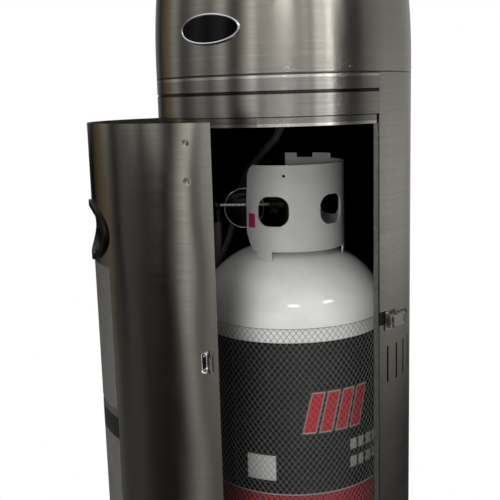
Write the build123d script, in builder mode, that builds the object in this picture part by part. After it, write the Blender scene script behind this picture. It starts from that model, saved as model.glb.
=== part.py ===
from build123d import *
import os
from collections import namedtuple
from math import asin, cos, degrees, pi, radians, sin, sqrt, tan

# A gas patio heater with a round sheet-steel housing, a hinged door that stands open,
# a gas bottle inside, and a burner under a wide reflector on a post.
# Millimetres. The origin is the centre of the base plate's underside, +Z is up and
# -Y is the front. Angles on a round wall are degrees from the front, positive to the right.

# Clearances
seat_gap = 0.3
running_fit = 0.05
hole_gap = 0.5
panel_gap = 1.5

# Base
plate_radius = 235.0
plate_thickness = 4.0
anchor_circle = 446.0
anchor_hole = 10.0
anchor_count = 4
anchor_first_angle = 45.0
foot_ring_width = 20.0
foot_ring_height = 24.0
foot_ring_sheet = 1.5
ballast_inner_radius = 80.0
ballast_height = 30.0
tray_top = 70.0
tray_sheet = 2.0
tray_clearance = 4.0
lug_height = 8.0
lug_sheet = 3.0

# Housing
body_radius = 206.0
body_top = 950.0
skin = 1.0
header_height = 60.0
header_groove_drop = 25.0
header_groove_width = 3.0
header_groove_depth = 1.5
lip_height = 14.0
lip_inset = 3.0
seam_gap = 0.6
vent_count = 6
vent_first_angle = 48.5
vent_pitch_angle = 7.4
vent_width = 4.5
vent_low = 472.0
vent_high = 531.0
vent_first_angle_left = 248.0

# Door, with the angle at which it stands open at rest
door_open = 43.2
hinge_angle = -104.4
latch_edge_angle = 41.7
jamb_gap = 4.3
door_sill_gap = 2.0
hinge_heights = (160.0, 480.0, 800.0)
hinge_length = 60.0
hinge_pin_radius = 1.5
hinge_pin_head = 2.6
knuckle_radius = 3.2
knuckle_clearance = 1.3
leaf_reach = 20.0
leaf_sheet = 1.3
rail_depth = 9.0
rail_width = 12.0
stile_width = 34.0
back_stile_width = 20.0
rail_sheet = 1.0
handle_angle = -31.4
handle_height = 732.0
handle_width = 158.0
handle_tall = 88.0
handle_rim = 11.0
handle_rim_thickness = 4.0
handle_depth = 34.0
handle_wall = 2.0
handle_draft = 4.0
label_edge_angle = -9.0
label_width = 118.0
label_sheet = 0.3
label_drops = ((257.0, 45.0), (527.0, 269.0))

# Latch, keeper and the stop behind the latch edge
latch_angle = 51.0
latch_height = 572.0
latch_base_width = 35.0
latch_base_tall = 30.0
latch_base_sheet = 1.5
latch_rivet_pitch = (28.4, 25.2)
latch_ear_spread = 15.4
latch_ear_sheet = 1.4
latch_ear_width = 8.0
latch_pin_inset = 12.0
latch_pin_rise = 6.0
latch_pin_radius = 1.2
latch_rivet_radius = 2.0
lever_width = 20.0
lever_sheet = 1.2
lever_length = 34.0
lever_tab = 4.0
lever_tall = 10.4
bail_pivot_inset = 9.0
bail_pivot_rise = 6.6
bail_wire = 2.2
bail_bend = 1.21
bail_length = 34.0
bail_side_gap = 0.8
bail_corner = 5.0
rivet_radius = 2.2
rivet_head = 1.4
rivet_taper = 25.0
keeper_angle = 37.6
keeper_height = 570.0
keeper_width = 17.0
keeper_tall = 31.0
keeper_sheet = 1.4
keeper_rivet_pitch = 19.0
keeper_hook_rise = 7.4
keeper_hook_inset = 5.7
keeper_hook_reach = 4.6
stop_face_width = 10.4
stop_depth = 6.5
stop_sheet = 1.2
bumper_height = 577.9
bumper_tall = 21.0
bumper_width = 17.0
bumper_depth = 6.0

# Dome and badge
dome_sheet = 1.0
dome_straight = 25.0
dome_side_radius = 1000.0
dome_side_rise = 130.0
dome_shoulder_radius = 190.0
dome_shoulder_tilt = 70.0
dome_mouth_radius = 42.0
dome_rivet_count = 14
dome_rivet_first_angle = -24.0
dome_rivet_rise = 8.0
dome_rivet_radius = 1.5
dome_rivet_head = 0.7
top_ring_width = 20.0
top_ring_low = 22.0
top_ring_high = 16.0
top_ring_shelf = 12.0
badge_angle = -31.0
badge_rise = 65.5
badge_width = 104.0
badge_tall = 45.0
badge_rim = 4.0
badge_rim_thickness = 3.0
badge_plate_thickness = 1.8

# Post and its socket
post_radius = 38.0
post_wall = 1.5
post_top = 1712.0
socket_height = 120.0
socket_wall = 3.0
socket_plate = 3.0
socket_hole = 30.0
gusset_count = 4
gusset_reach = 90.0
gusset_height = 80.0
trim_ring_width = 8.0
trim_ring_height = 11.0

# Gas bottle
bottle_radius = 154.0
bottle_height = 742.0
bottle_offset = 6.9
bottle_wall = 3.0
bottle_lower_head = 77.0
bottle_upper_head = 110.0
bottle_top_corner = 570.0
bottle_lower_corner = 166.0
neck_radius = 22.0
neck_height = 10.0
neck_bore = 12.0
foot_radius = 103.0
foot_wall = 3.0
collar_radius = 91.0
collar_wall = 2.5
collar_from = -51.0
collar_to = 184.0
collar_low = 674.0
collar_back_rise = 8.0
hand_hole_angle = -17.8
hand_hole_second_angle = 48.3
hand_hole_back_angle = 128.0
hand_hole_width = 52.0
hand_hole_tall = 48.0
hand_hole_drop = 73.3
hand_hole_corner = 19.0
small_hole_angle = -6.0
small_hole_drop = 16.8
small_hole_size = 5.0
collar_rise_angle = 128.0
collar_notch = (152.0, 171.0)
collar_feet = ((-37.4, -19.7), (72.0, 90.0), (166.0, 184.0))
collar_end_angle = -44.5
collar_end_top = ((-6.0, 796.0), (-1.5, 806.0), (6.0, 812.0))
collar_end_side = ((-9.7, 756.0), (-10.3, 703.0))
collar_end_foot = ((-3.3, 686.0), (4.4, 674.0))
sleeve_sheet = 0.8
sleeve_low = 130.0
sleeve_high = 543.0
net_thickness = 1.2
net_low = 124.0
net_high = 566.0

# Bottle valve, regulator and gas line
outlet_rise = 51.0
valve_body_radius = 14.0
valve_cap_rise = 21.0
outlet_radius = 9.0
outlet_end = 34.0
hand_wheel_radius = 27.0
hand_wheel_thickness = 12.0
hand_wheel_scallops = 8
scallop_radius = 6.3
scallop_offset = 3.0
stem_radius = 4.0
stem_height = 14.0
nut_radius = 17.0
nut_length = 14.0
nut_flutes = 12
nut_flute_radius = 2.8
regulator_x = -71.0
regulator_y = 16.0
regulator_drop = 7.5
regulator_radius = 34.5
regulator_thickness = 18.0
regulator_rim = 2.2
regulator_cap_radius = 19.0
regulator_pipe_radius = 6.0
regulator_outlet_x = -116.0
hose_radius = 6.5
hose_bends = ((-116.0, 0.0, 667.0), (-128.0, 26.0, 631.0), (-130.0, 69.0, 617.0),
              (-121.0, 112.0, 631.0), (-103.0, 138.0, 667.0), (-95.0, 139.0, 712.0),
              (-82.0, 128.0, 757.0), (-62.0, 104.0, 797.0), (-29.5, 51.0, 833.0),
              (-10.0, 17.0, 855.0), (0.0, 0.0, 890.0))
hose_arc_share = 0.45
ferrule_radius = 8.5
ferrule_length = 22.0
pipe_radius = 4.8
pipe_bend = 24.0

# Burner
control_radius = 92.0
control_cone_height = 38.0
control_drum_height = 100.0
control_neck = 22.0
control_sheet = 1.2
burner_plate_radius = 104.0
burner_plate_sheet = 2.0
burner_cup_radius = 55.0
burner_cup_height = 34.0
flame_port_count = 24
flame_port_width = 3.0
mixing_tube_radius = 12.0
emitter_radius = 100.0
emitter_sheet = 1.0
emitter_height = 205.0
cap_radius = 112.0
cap_sheet = 2.5
cap_rim = 12.0
valve_block = (34.0, 26.0, 34.0)
knob_radius = 19.0
knob_length = 18.0
knob_skirt = 7.2
knob_draft = 8.0
knob_grip = (34.0, 15.2)
knob_bore = 13.5
knob_rise = 40.0
button_angle = 30.0
button_radius = 7.0
button_stem_radius = 5.0
button_travel = 5.0
button_length = 9.0
igniter_radius = 10.0
igniter_length = 40.0
pilot_angle = 20.0
pilot_radius = 75.0
pilot_rod_radius = 3.2
pilot_pitch = 12.0
pilot_heights = (52.0, 44.0, 58.0)
pilot_bracket = (38.0, 14.0)
pilot_sheet = 3.0
tilt_switch_size = (26.0, 18.0, 30.0)

# Reflector
reflector_radius = 406.0
reflector_rise = 104.0
reflector_sheet = 1.0
reflector_lift = 27.6
reflector_bead = 3.0
stud_count = 3
stud_circle_radius = 70.0
stud_radius = 4.0
stud_shoulder_radius = 7.0
stud_shoulder_height = 12.0
stud_end = 16.0
nut_hub_radius = 7.0
nut_hub_height = 9.0
nut_wing = 11.0

# Wheels
axle_height = 52.0
axle_y = 262.0
axle_radius = 6.0
wheel_radius = 50.0
wheel_width = 24.0
wheel_side_gap = 3.0
wheel_cap = 4.0
wheel_edge = 4.8
bracket_half_width = 46.0
bracket_sheet = 3.0
bracket_front_gap = 4.0
bracket_back = 218.0

# A round wall is placed by the axis that it goes round and by how far it is turned.
Wall = namedtuple("Wall", "centre turn")


def turned(point, centre, angle):
    """A plan point turned about another by an angle, anticlockwise seen from above."""
    x, y = point[0] - centre[0], point[1] - centre[1]
    c, s = cos(radians(angle)), sin(radians(angle))
    return (centre[0] + x * c - y * s, centre[1] + x * s + y * c)


def around(angle, radius, centre=(0.0, 0.0)):
    """A plan point at an angle from the front and a radius."""
    return (centre[0] + radius * sin(radians(angle)), centre[1] - radius * cos(radians(angle)))


def arc_angle(length, radius):
    """The angle that an arc of this length covers."""
    return degrees(length / radius)


def outward(angle, wall):
    """The direction straight out of a wall at an angle."""
    facing = radians(angle + wall.turn)
    return Vector(sin(facing), -cos(facing), 0)


def wall_plane(angle, radius, height, wall):
    """A plane that faces straight out of a wall: local x runs right and local y up."""
    out = outward(angle, wall)
    origin = Vector(*wall.centre, height) + out * radius
    return Plane(origin=origin, x_dir=Vector(-out.Y, out.X, 0), z_dir=out)


def section_plane(angle, wall):
    """An upright plane through a wall's axis: local x is the radius and local y the height."""
    out = outward(angle, wall)
    return Plane(origin=(*wall.centre, 0), x_dir=out, z_dir=out.cross(Vector(0, 0, 1)))


def wall_axis(wall):
    """The upright axis that a wall goes round."""
    return Axis((*wall.centre, 0), (0, 0, 1))


def wall_strip(angles, radii, heights, wall, mode=Mode.ADD):
    """A strip of a round wall between two angles, two radii and two heights."""
    with BuildSketch(section_plane(angles[0], wall)) as strip:
        with Locations(((radii[0] + radii[1]) / 2, (heights[0] + heights[1]) / 2)):
            Rectangle(radii[1] - radii[0], heights[1] - heights[0])
    revolve(strip.sketch, axis=wall_axis(wall), revolution_arc=angles[1] - angles[0], mode=mode)


def ring(radii, heights, wall, mode=Mode.ADD):
    """A full ring, or a disc where the inner radius is 0."""
    wall_strip((0.0, 360.0), radii, heights, wall, mode)


def finish(piece, name):
    """Labels a finished piece and writes it to its own file."""
    piece.part.label = name
    export_step(piece.part, f"parts/{name}.step")


os.makedirs("parts", exist_ok=True)

# Places worked out from the driving dimensions
housing = Wall((0.0, 0.0), 0.0)
hinge_radius = body_radius - skin / 2
hinge_point = around(hinge_angle, hinge_radius)
door = Wall(turned((0.0, 0.0), hinge_point, -door_open), -door_open)
bottle = Wall((bottle_offset, 0.0), 0.0)
body_inner = body_radius - skin
behind_skin = body_inner - seat_gap
floor_top = plate_thickness + seat_gap
edge_clearance = arc_angle(knuckle_radius + knuckle_clearance, hinge_radius)
jamb_edge_angle = latch_edge_angle + arc_angle(jamb_gap, body_radius)
hinge_edge_angle = hinge_angle - edge_clearance
door_top = body_top - header_height - panel_gap
door_bottom = tray_top + door_sill_gap
lip_bottom = body_top - header_height - lip_height
control_cone_top = post_top + control_cone_height
control_top = control_cone_top + control_drum_height
knob_height = control_cone_top + knob_rise

# Base plate: a flat steel disc that stands on the floor, with holes for anchor bolts
with BuildPart() as base_plate:
    with BuildSketch(Plane.XY):
        Circle(plate_radius)
        with PolarLocations(anchor_circle / 2, anchor_count, start_angle=anchor_first_angle):
            Circle(anchor_hole / 2, mode=Mode.SUBTRACT)
    extrude(amount=plate_thickness)
    chamfer(base_plate.edges().group_by(Axis.Z)[-1].sort_by(SortBy.LENGTH)[-1], plate_thickness / 4)
finish(base_plate, "base_plate")

# Foot ring: an angle ring that holds the housing's skin to the base plate
with BuildPart() as foot_ring:
    foot_heights = (floor_top, floor_top + foot_ring_sheet)
    ring((behind_skin - foot_ring_width, behind_skin), foot_heights, housing)
    foot_heights = (floor_top, floor_top + foot_ring_height)
    ring((behind_skin - foot_ring_sheet, behind_skin), foot_heights, housing)
finish(foot_ring, "foot_ring")

# Ballast: a cast weight that keeps the tall heater upright
ballast_radius = behind_skin - foot_ring_width - seat_gap
with BuildPart() as ballast_weight:
    ring((ballast_inner_radius, ballast_radius), (floor_top, floor_top + ballast_height), housing)
    chamfer(ballast_weight.edges().group_by(Axis.Z)[-1], foot_ring_sheet)
finish(ballast_weight, "ballast_weight")

# Bottle tray: an inverted pan on the foot ring, with a low ring that locates the bottle
tray_radius = body_inner - tray_clearance
tray_foot = floor_top + foot_ring_sheet + seat_gap
with BuildPart() as bottle_tray:
    ring((0.0, tray_radius), (tray_top - tray_sheet, tray_top), housing)
    ring((tray_radius - tray_sheet, tray_radius), (tray_foot, tray_top - tray_sheet), housing)
    lug_inner = foot_radius + panel_gap
    ring((lug_inner, lug_inner + lug_sheet), (tray_top, tray_top + lug_height), bottle)
finish(bottle_tray, "bottle_tray")

# Housing skin: a full ring at the foot and a wall from the latch edge round to the hinge
skin_top = body_top - seam_gap / 2
with BuildPart() as body_shell:
    ring((body_inner, body_radius), (floor_top, tray_top), housing)
    wall_angles = (jamb_edge_angle, 360.0 + hinge_edge_angle)
    wall_strip(wall_angles, (body_inner, body_radius), (tray_top, skin_top), housing)
    vent_middle = (vent_low + vent_high) / 2
    for first_angle, step in ((vent_first_angle, vent_pitch_angle),
                              (vent_first_angle_left, -vent_pitch_angle)):
        for count in range(vent_count):
            place = wall_plane(first_angle + count * step, body_radius, vent_middle, housing)
            with BuildSketch(place):
                SlotOverall(vent_high - vent_low, vent_width, rotation=90)
            extrude(amount=-3 * skin, both=True, mode=Mode.SUBTRACT)
    bumper_from = latch_edge_angle + arc_angle(jamb_gap - panel_gap, body_radius)
    notch_to = bumper_from + arc_angle(bumper_width, body_radius)
    notch_heights = (bumper_height - bumper_tall / 2, bumper_height + bumper_tall / 2)
    wall_strip((jamb_edge_angle - 1, notch_to), (body_inner - skin, body_radius + skin),
               notch_heights, housing, Mode.SUBTRACT)
finish(body_shell, "body_shell")

# Door stop: a rolled channel along the latch edge, whose front face backs the closed door
stop_end_angle = jamb_edge_angle - arc_angle(hole_gap, body_radius)
stop_from_angle = stop_end_angle - arc_angle(stop_face_width, body_radius)
stop_front = behind_skin - stop_sheet
stop_deep = behind_skin - stop_depth
stop_heights = (tray_top + seat_gap, lip_bottom - seat_gap)
sheet_angle = arc_angle(stop_sheet, body_radius)
with BuildPart() as latch_jamb:
    wall_strip((stop_from_angle, stop_end_angle), (stop_front, behind_skin), stop_heights, housing)
    wall_strip((stop_end_angle - sheet_angle, stop_end_angle), (stop_deep, behind_skin),
               stop_heights, housing)
    tail_angle = jamb_edge_angle + 2 * sheet_angle
    wall_strip((stop_end_angle - sheet_angle, tail_angle), (stop_deep, stop_deep + stop_sheet),
               stop_heights, housing)
    wall_strip((tail_angle - sheet_angle, tail_angle), (stop_deep, behind_skin), stop_heights, housing)
    wall_strip((tail_angle - sheet_angle, notch_to + 4 * sheet_angle), (stop_front, behind_skin),
               stop_heights, housing)
    wall_strip((bumper_from, notch_to), (stop_deep - skin, body_radius), notch_heights, housing,
               Mode.SUBTRACT)
finish(latch_jamb, "latch_jamb")

# Black rubber block that fills the notch beside the latch
with BuildPart() as latch_bumper:
    gap_angle = arc_angle(seat_gap, body_radius)
    block_heights = (notch_heights[0] + seat_gap, notch_heights[1] - seat_gap)
    wall_strip((bumper_from + gap_angle, notch_to - gap_angle),
               (behind_skin - bumper_depth, behind_skin), block_heights, housing)
finish(latch_bumper, "latch_bumper")

# Header band over the door: a pressed groove, a step and a lip that the door closes against
header_low = body_top - header_height
groove_middle = body_top - header_groove_drop
lip_outer = body_radius - lip_inset
half_groove = header_groove_width / 2
groove_floor = body_radius - header_groove_depth
header_gap = arc_angle(seat_gap, body_radius)
header_from = hinge_edge_angle + header_gap
header_arc = jamb_edge_angle - header_gap - header_from
with BuildPart() as header_band:
    with BuildSketch(section_plane(header_from, housing)):
        with BuildLine():
            Polyline((body_radius, skin_top), (body_radius, groove_middle + half_groove),
                     (groove_floor, groove_middle + half_groove / 2),
                     (groove_floor, groove_middle - half_groove / 2),
                     (body_radius, groove_middle - half_groove), (body_radius, header_low),
                     (lip_outer, header_low - skin), (lip_outer, lip_bottom),
                     (lip_outer - skin, lip_bottom), (lip_outer - skin, header_low),
                     (body_inner, header_low + skin),
                     (body_inner, groove_middle - half_groove - skin / 2),
                     (groove_floor - skin, groove_middle - half_groove / 2 - skin / 2),
                     (groove_floor - skin, groove_middle + half_groove / 2 + skin / 2),
                     (body_inner, groove_middle + half_groove + skin / 2), (body_inner, skin_top),
                     close=True)
        make_face()
    revolve(axis=Axis.Z, revolution_arc=header_arc)
finish(header_band, "header_band")

# Top ring: joins the housing to the dome and carries the post's socket plate on its shelf
shelf_top = body_top - top_ring_shelf
ring_low = max(body_top - top_ring_low, groove_middle + half_groove + skin)
dome_bottom = body_top + seam_gap / 2
with BuildPart() as top_ring:
    ring((behind_skin - top_ring_width, behind_skin), (shelf_top - dome_sheet, shelf_top), housing)
    ring((behind_skin - dome_sheet, behind_skin), (ring_low, body_top + top_ring_high), housing)
finish(top_ring, "top_ring")

# Dome: one spun shell from the seam up to its mouth round the post
straight_top = body_top + dome_straight
side_tilt = asin(dome_side_rise / dome_side_radius)
side_end = (body_radius - dome_side_radius * (1 - cos(side_tilt)), straight_top + dome_side_rise)
tilt = radians(dome_shoulder_tilt)
shoulder_end = (side_end[0] - dome_shoulder_radius * (cos(side_tilt) - cos(tilt)),
                side_end[1] + dome_shoulder_radius * (sin(tilt) - sin(side_tilt)))
mouth_height = shoulder_end[1] + (shoulder_end[0] - dome_mouth_radius) / tan(tilt)
with BuildPart() as dome_cover:
    with BuildSketch(Plane.XZ):
        with BuildLine():
            wall_line = Line((body_radius, dome_bottom), (body_radius, straight_top))
            side = JernArc(wall_line @ 1, wall_line % 1, dome_side_radius, degrees(side_tilt))
            shoulder = JernArc(side @ 1, side % 1, dome_shoulder_radius,
                               dome_shoulder_tilt - degrees(side_tilt))
            Line(shoulder @ 1, (dome_mouth_radius, mouth_height))
            offset(amount=dome_sheet, side=Side.LEFT)
        make_face()
    revolve(axis=Axis.Z)
finish(dome_cover, "dome_cover")

# Small round rivets that hold the dome to the top ring
with BuildPart() as dome_rivets:
    for count in range(dome_rivet_count):
        angle = dome_rivet_first_angle + count * 360.0 / dome_rivet_count
        with BuildSketch(wall_plane(angle, body_radius, body_top + dome_rivet_rise, housing)):
            Circle(dome_rivet_radius)
        extrude(amount=dome_rivet_head, taper=rivet_taper)
finish(dome_rivets, "dome_rivets")

# Badge place: a chrome rim round a blank oval plate, both bent to the dome
badge_height = body_top + badge_rise
badge_reach = arc_angle(badge_width / 2 + badge_rim, body_radius) + badge_rim


def dome_radius(height):
    """The dome's outer radius on its long side arc."""
    rise = max(height - straight_top, 0.0)
    return body_radius - dome_side_radius + sqrt(dome_side_radius ** 2 - rise ** 2)


def badge_layer(width, tall, inner, outer):
    """An oval cut from a thin layer that lies on the dome's side."""
    low, high = badge_height - badge_tall, badge_height + badge_tall
    with BuildSketch(section_plane(badge_angle - badge_reach, housing)) as layer:
        with BuildLine():
            Polyline((dome_radius(low) + inner, low), (dome_radius(low) + outer, low),
                     (dome_radius(badge_height) + outer, badge_height),
                     (dome_radius(high) + outer, high), (dome_radius(high) + inner, high),
                     (dome_radius(badge_height) + inner, badge_height), close=True)
        make_face()
    revolve(layer.sketch, axis=Axis.Z, revolution_arc=2 * badge_reach)
    with BuildSketch(wall_plane(badge_angle, 0, badge_height, housing)) as oval:
        Ellipse(width / 2, tall / 2)
    extrude(oval.sketch, amount=2 * body_radius, mode=Mode.INTERSECT)


with BuildPart() as badge_plate:
    badge_layer(badge_width - 2 * badge_rim, badge_tall - 2 * badge_rim, seat_gap,
                seat_gap + badge_plate_thickness)
finish(badge_plate, "badge_plate")

with BuildPart() as badge_bezel:
    badge_layer(badge_width, badge_tall, seat_gap, seat_gap + badge_rim_thickness)
    rim_gap = 2 * badge_rim - 2 * seat_gap
    with BuildSketch(wall_plane(badge_angle, 0, badge_height, housing)):
        Ellipse((badge_width - rim_gap) / 2, (badge_tall - rim_gap) / 2)
    extrude(amount=2 * body_radius, mode=Mode.SUBTRACT)
finish(badge_bezel, "badge_bezel")

# Door skin, with the hole that the recessed handle sits in
door_from = hinge_angle + edge_clearance
handle_plane = wall_plane(handle_angle, body_radius, handle_height, door)
with BuildPart() as door_panel:
    wall_strip((door_from, latch_edge_angle), (body_inner, body_radius), (door_bottom, door_top), door)
    with BuildSketch(handle_plane):
        Ellipse(handle_width / 2 - handle_rim + handle_wall + hole_gap,
                handle_tall / 2 - handle_rim + handle_wall + hole_gap)
    extrude(amount=-handle_depth, both=True, mode=Mode.SUBTRACT)
finish(door_panel, "door_panel")

# Door frame: angle rails at the top and the foot, and a stile along each upright edge
frame_low = door_bottom + rail_width / 2
frame_high = lip_bottom - 2 * seat_gap
rail_inner = behind_skin - rail_depth
stile_to = stop_from_angle - arc_angle(panel_gap, body_radius)
stile_from = stile_to - arc_angle(stile_width, body_radius)
back_from = hinge_angle + arc_angle(leaf_reach + 2 * knuckle_clearance, body_radius)
back_to = back_from + arc_angle(back_stile_width, body_radius)
rail_angle = arc_angle(rail_sheet, body_radius)
flange_radii = (behind_skin - rail_sheet, behind_skin)
with BuildPart() as door_frame:
    for low, high, web in ((frame_low, frame_low + rail_width, frame_low + rail_width - rail_sheet),
                           (frame_high - rail_width, frame_high, frame_high - rail_width)):
        wall_strip((back_from, stile_to), flange_radii, (low, high), door)
        wall_strip((back_from, stile_to), (rail_inner, behind_skin), (web, web + rail_sheet), door)
    for start, end, web in ((stile_from, stile_to, stile_from),
                            (back_from, back_to, back_to - rail_angle)):
        wall_strip((start, end), flange_radii, (frame_low, frame_high), door)
        wall_strip((web, web + rail_angle), (rail_inner, behind_skin), (frame_low, frame_high), door)
finish(door_frame, "door_frame")

# Recessed pull handle: a proud oval rim bent to the door, and a cup behind it
with BuildPart() as door_handle:
    cup_width = handle_width / 2 - handle_rim
    cup_tall = handle_tall / 2 - handle_rim
    half_turn = arc_angle(handle_width / 2 + handle_rim, body_radius)
    wall_strip((handle_angle - half_turn, handle_angle + half_turn),
               (body_radius + seat_gap, body_radius + seat_gap + handle_rim_thickness),
               (handle_height - handle_tall, handle_height + handle_tall), door)
    with BuildSketch(wall_plane(handle_angle, 0, handle_height, door)):
        Ellipse(handle_width / 2, handle_tall / 2)
    extrude(amount=2 * body_radius, mode=Mode.INTERSECT)
    with BuildSketch(wall_plane(handle_angle, body_radius - handle_depth, handle_height, door)):
        Ellipse(cup_width + handle_wall, cup_tall + handle_wall)
    extrude(amount=handle_depth + handle_rim_thickness)
    proud = body_radius + seat_gap + handle_rim_thickness
    wall_strip((handle_angle - half_turn, handle_angle + half_turn), (proud, proud + handle_depth),
               (handle_height - handle_tall, handle_height + handle_tall), door, Mode.SUBTRACT)
    with BuildSketch(wall_plane(handle_angle, body_radius - handle_depth + handle_wall,
                                handle_height, door)):
        Ellipse(cup_width, cup_tall)
    extrude(amount=2 * handle_depth, taper=-handle_draft, mode=Mode.SUBTRACT)
finish(door_handle, "door_handle")

# Two blank foil labels below the handle
with BuildPart() as door_labels:
    label_from = label_edge_angle - arc_angle(label_width, body_radius)
    label_inner = body_radius + seat_gap / 3
    for low_drop, high_drop in label_drops:
        heights = (handle_height - low_drop, handle_height - high_drop)
        wall_strip((label_from, label_edge_angle), (label_inner, label_inner + label_sheet), heights,
                   door)
finish(door_labels, "door_labels")

# Hinges: interleaved knuckles on one pin each, with leaves behind the two skins
knuckle_length = hinge_length / 3
leaf_radii = (behind_skin - leaf_sheet, behind_skin)
leaf_start = arc_angle(knuckle_radius + knuckle_clearance, hinge_radius)
leaf_end = arc_angle(leaf_reach, hinge_radius)


def knuckle(middle, length):
    """One hinge knuckle round the pin, bored with a running fit."""
    with BuildSketch(Plane((*hinge_point, middle - length / 2))) as tube:
        Circle(knuckle_radius)
    extrude(tube.sketch, amount=length)


def knuckle_bore(middle):
    """The bore of a hinge's knuckles."""
    with BuildSketch(Plane((*hinge_point, middle - hinge_length))) as bore:
        Circle(hinge_pin_radius + running_fit)
    extrude(bore.sketch, amount=2 * hinge_length, mode=Mode.SUBTRACT)


with BuildPart() as hinge_door_leaves:
    for middle in hinge_heights:
        leaf_heights = (middle - hinge_length / 2, middle + hinge_length / 2)
        neck_heights = (middle - knuckle_length / 2 + seat_gap, middle + knuckle_length / 2 - seat_gap)
        wall_strip((hinge_angle + leaf_start, hinge_angle + leaf_end), leaf_radii, leaf_heights, door)
        wall_strip((hinge_angle, hinge_angle + leaf_start), leaf_radii, neck_heights, door)
        knuckle(middle, knuckle_length - 2 * seat_gap)
        knuckle_bore(middle)
finish(hinge_door_leaves, "hinge_door_leaves")

with BuildPart() as hinge_body_leaves:
    for middle in hinge_heights:
        leaf_heights = (middle - hinge_length / 2, middle + hinge_length / 2)
        wall_strip((hinge_angle - leaf_end, hinge_angle - leaf_start), leaf_radii, leaf_heights, housing)
        for side in (-1, 1):
            shift = side * knuckle_length
            neck_heights = (middle + shift - knuckle_length / 2, middle + shift + knuckle_length / 2)
            wall_strip((hinge_angle - leaf_start, hinge_angle), leaf_radii, neck_heights, housing)
            knuckle(middle + shift, knuckle_length)
        knuckle_bore(middle)
finish(hinge_body_leaves, "hinge_body_leaves")

with BuildPart() as hinge_pins:
    for middle in hinge_heights:
        pin_low = middle - hinge_length / 2 - seat_gap
        with BuildSketch(Plane((*hinge_point, pin_low))):
            Circle(hinge_pin_radius)
        extrude(amount=hinge_length + 2 * seat_gap)
        for start in (pin_low - hinge_pin_radius, pin_low + hinge_length + 2 * seat_gap):
            with BuildSketch(Plane((*hinge_point, start))):
                Circle(hinge_pin_head)
            extrude(amount=hinge_pin_radius)
finish(hinge_pins, "hinge_pins")

# Draw latch on the housing: base plate with two ears, lever, pin and wire bail
latch_plane = wall_plane(latch_angle, body_radius + seat_gap, latch_height, housing)
latch_left = -latch_base_width / 2
latch_pin_x = latch_left + latch_pin_inset - latch_ear_width / 2
bail_pivot_x = latch_pin_x + bail_pivot_inset


def across(x, rise, shift=0.0):
    """A plane on the latch whose normal runs up the housing: local x right, local y outwards."""
    origin = latch_plane.from_local_coords(Vector(x, shift, rise))
    return Plane(origin=origin, x_dir=latch_plane.x_dir, z_dir=-latch_plane.y_dir)


with BuildPart() as latch_base:
    with BuildSketch(latch_plane):
        RectangleRounded(latch_base_width, latch_base_tall, rivet_radius)
    extrude(amount=latch_base_sheet)
    for side in (-1, 1):
        with BuildSketch(across(latch_pin_x, 0, side * (latch_ear_spread / 2) + latch_ear_sheet / 2)):
            with Locations((0, latch_pin_rise / 2)):
                Rectangle(latch_ear_width, latch_pin_rise)
            with Locations((0, latch_pin_rise)):
                Circle(latch_ear_width / 2 - seat_gap)
        extrude(amount=latch_ear_sheet)
    with BuildSketch(across(latch_pin_x, latch_pin_rise, latch_base_tall)):
        Circle(latch_pin_radius)
    extrude(amount=2 * latch_base_tall, mode=Mode.SUBTRACT)
    with BuildSketch(latch_plane):
        with GridLocations(*latch_rivet_pitch, 2, 2):
            Circle(rivet_radius / 2 + running_fit)
    extrude(amount=latch_base_sheet, mode=Mode.SUBTRACT)
finish(latch_base, "latch_base")

with BuildPart() as latch_rivets:
    with BuildSketch(latch_plane.offset(latch_base_sheet + seat_gap / 3)):
        with GridLocations(*latch_rivet_pitch, 2, 2):
            Circle(latch_rivet_radius)
    extrude(amount=rivet_head / 2)
    with BuildSketch(latch_plane):
        with GridLocations(*latch_rivet_pitch, 2, 2):
            Circle(rivet_radius / 2)
    extrude(amount=latch_base_sheet + seat_gap / 3)
finish(latch_rivets, "latch_rivets")

lever_inner = lever_width / 2 - lever_sheet
lever_round = latch_pin_rise - latch_base_sheet - hole_gap
with BuildPart() as latch_lever:
    for side in (-1, 1):
        with BuildSketch(across(latch_pin_x, latch_pin_rise, side * (lever_inner + lever_sheet / 2)
                                + lever_sheet / 2)):
            leg_low = hole_gap - lever_round
            leg_high = lever_tall - latch_pin_rise
            with Locations(((bail_pivot_inset + lever_round) / 2, (leg_low + leg_high) / 2)):
                Rectangle(bail_pivot_inset + lever_round, leg_high - leg_low)
            Circle(lever_round)
        extrude(amount=lever_sheet)
    top = lever_tall + lever_sheet
    with BuildSketch(latch_plane.offset(lever_tall)):
        with Locations((latch_pin_x + lever_length / 2, 0)):
            RectangleRounded(lever_length, lever_width, lever_width / 5)
    extrude(amount=lever_sheet)
    with BuildSketch(across(latch_pin_x, 0, lever_width / 3)):
        with Locations((lever_length - lever_sheet / 2, top + lever_tab / 2 - lever_sheet / 2)):
            Rectangle(lever_sheet, lever_tab + lever_sheet)
    extrude(amount=2 * lever_width / 3)
    with BuildSketch(across(latch_pin_x, latch_pin_rise, latch_base_tall)):
        Circle(latch_pin_radius + running_fit)
        with Locations((bail_pivot_inset, bail_pivot_rise - latch_pin_rise)):
            Circle(bail_wire / 2 + running_fit)
    extrude(amount=2 * latch_base_tall, mode=Mode.SUBTRACT)
finish(latch_lever, "latch_lever")

with BuildPart() as latch_pin:
    pin_half = lever_width / 2 + seat_gap
    with BuildSketch(across(latch_pin_x, latch_pin_rise, pin_half)):
        Circle(latch_pin_radius)
    extrude(amount=2 * pin_half)
finish(latch_pin, "latch_pin")

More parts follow.
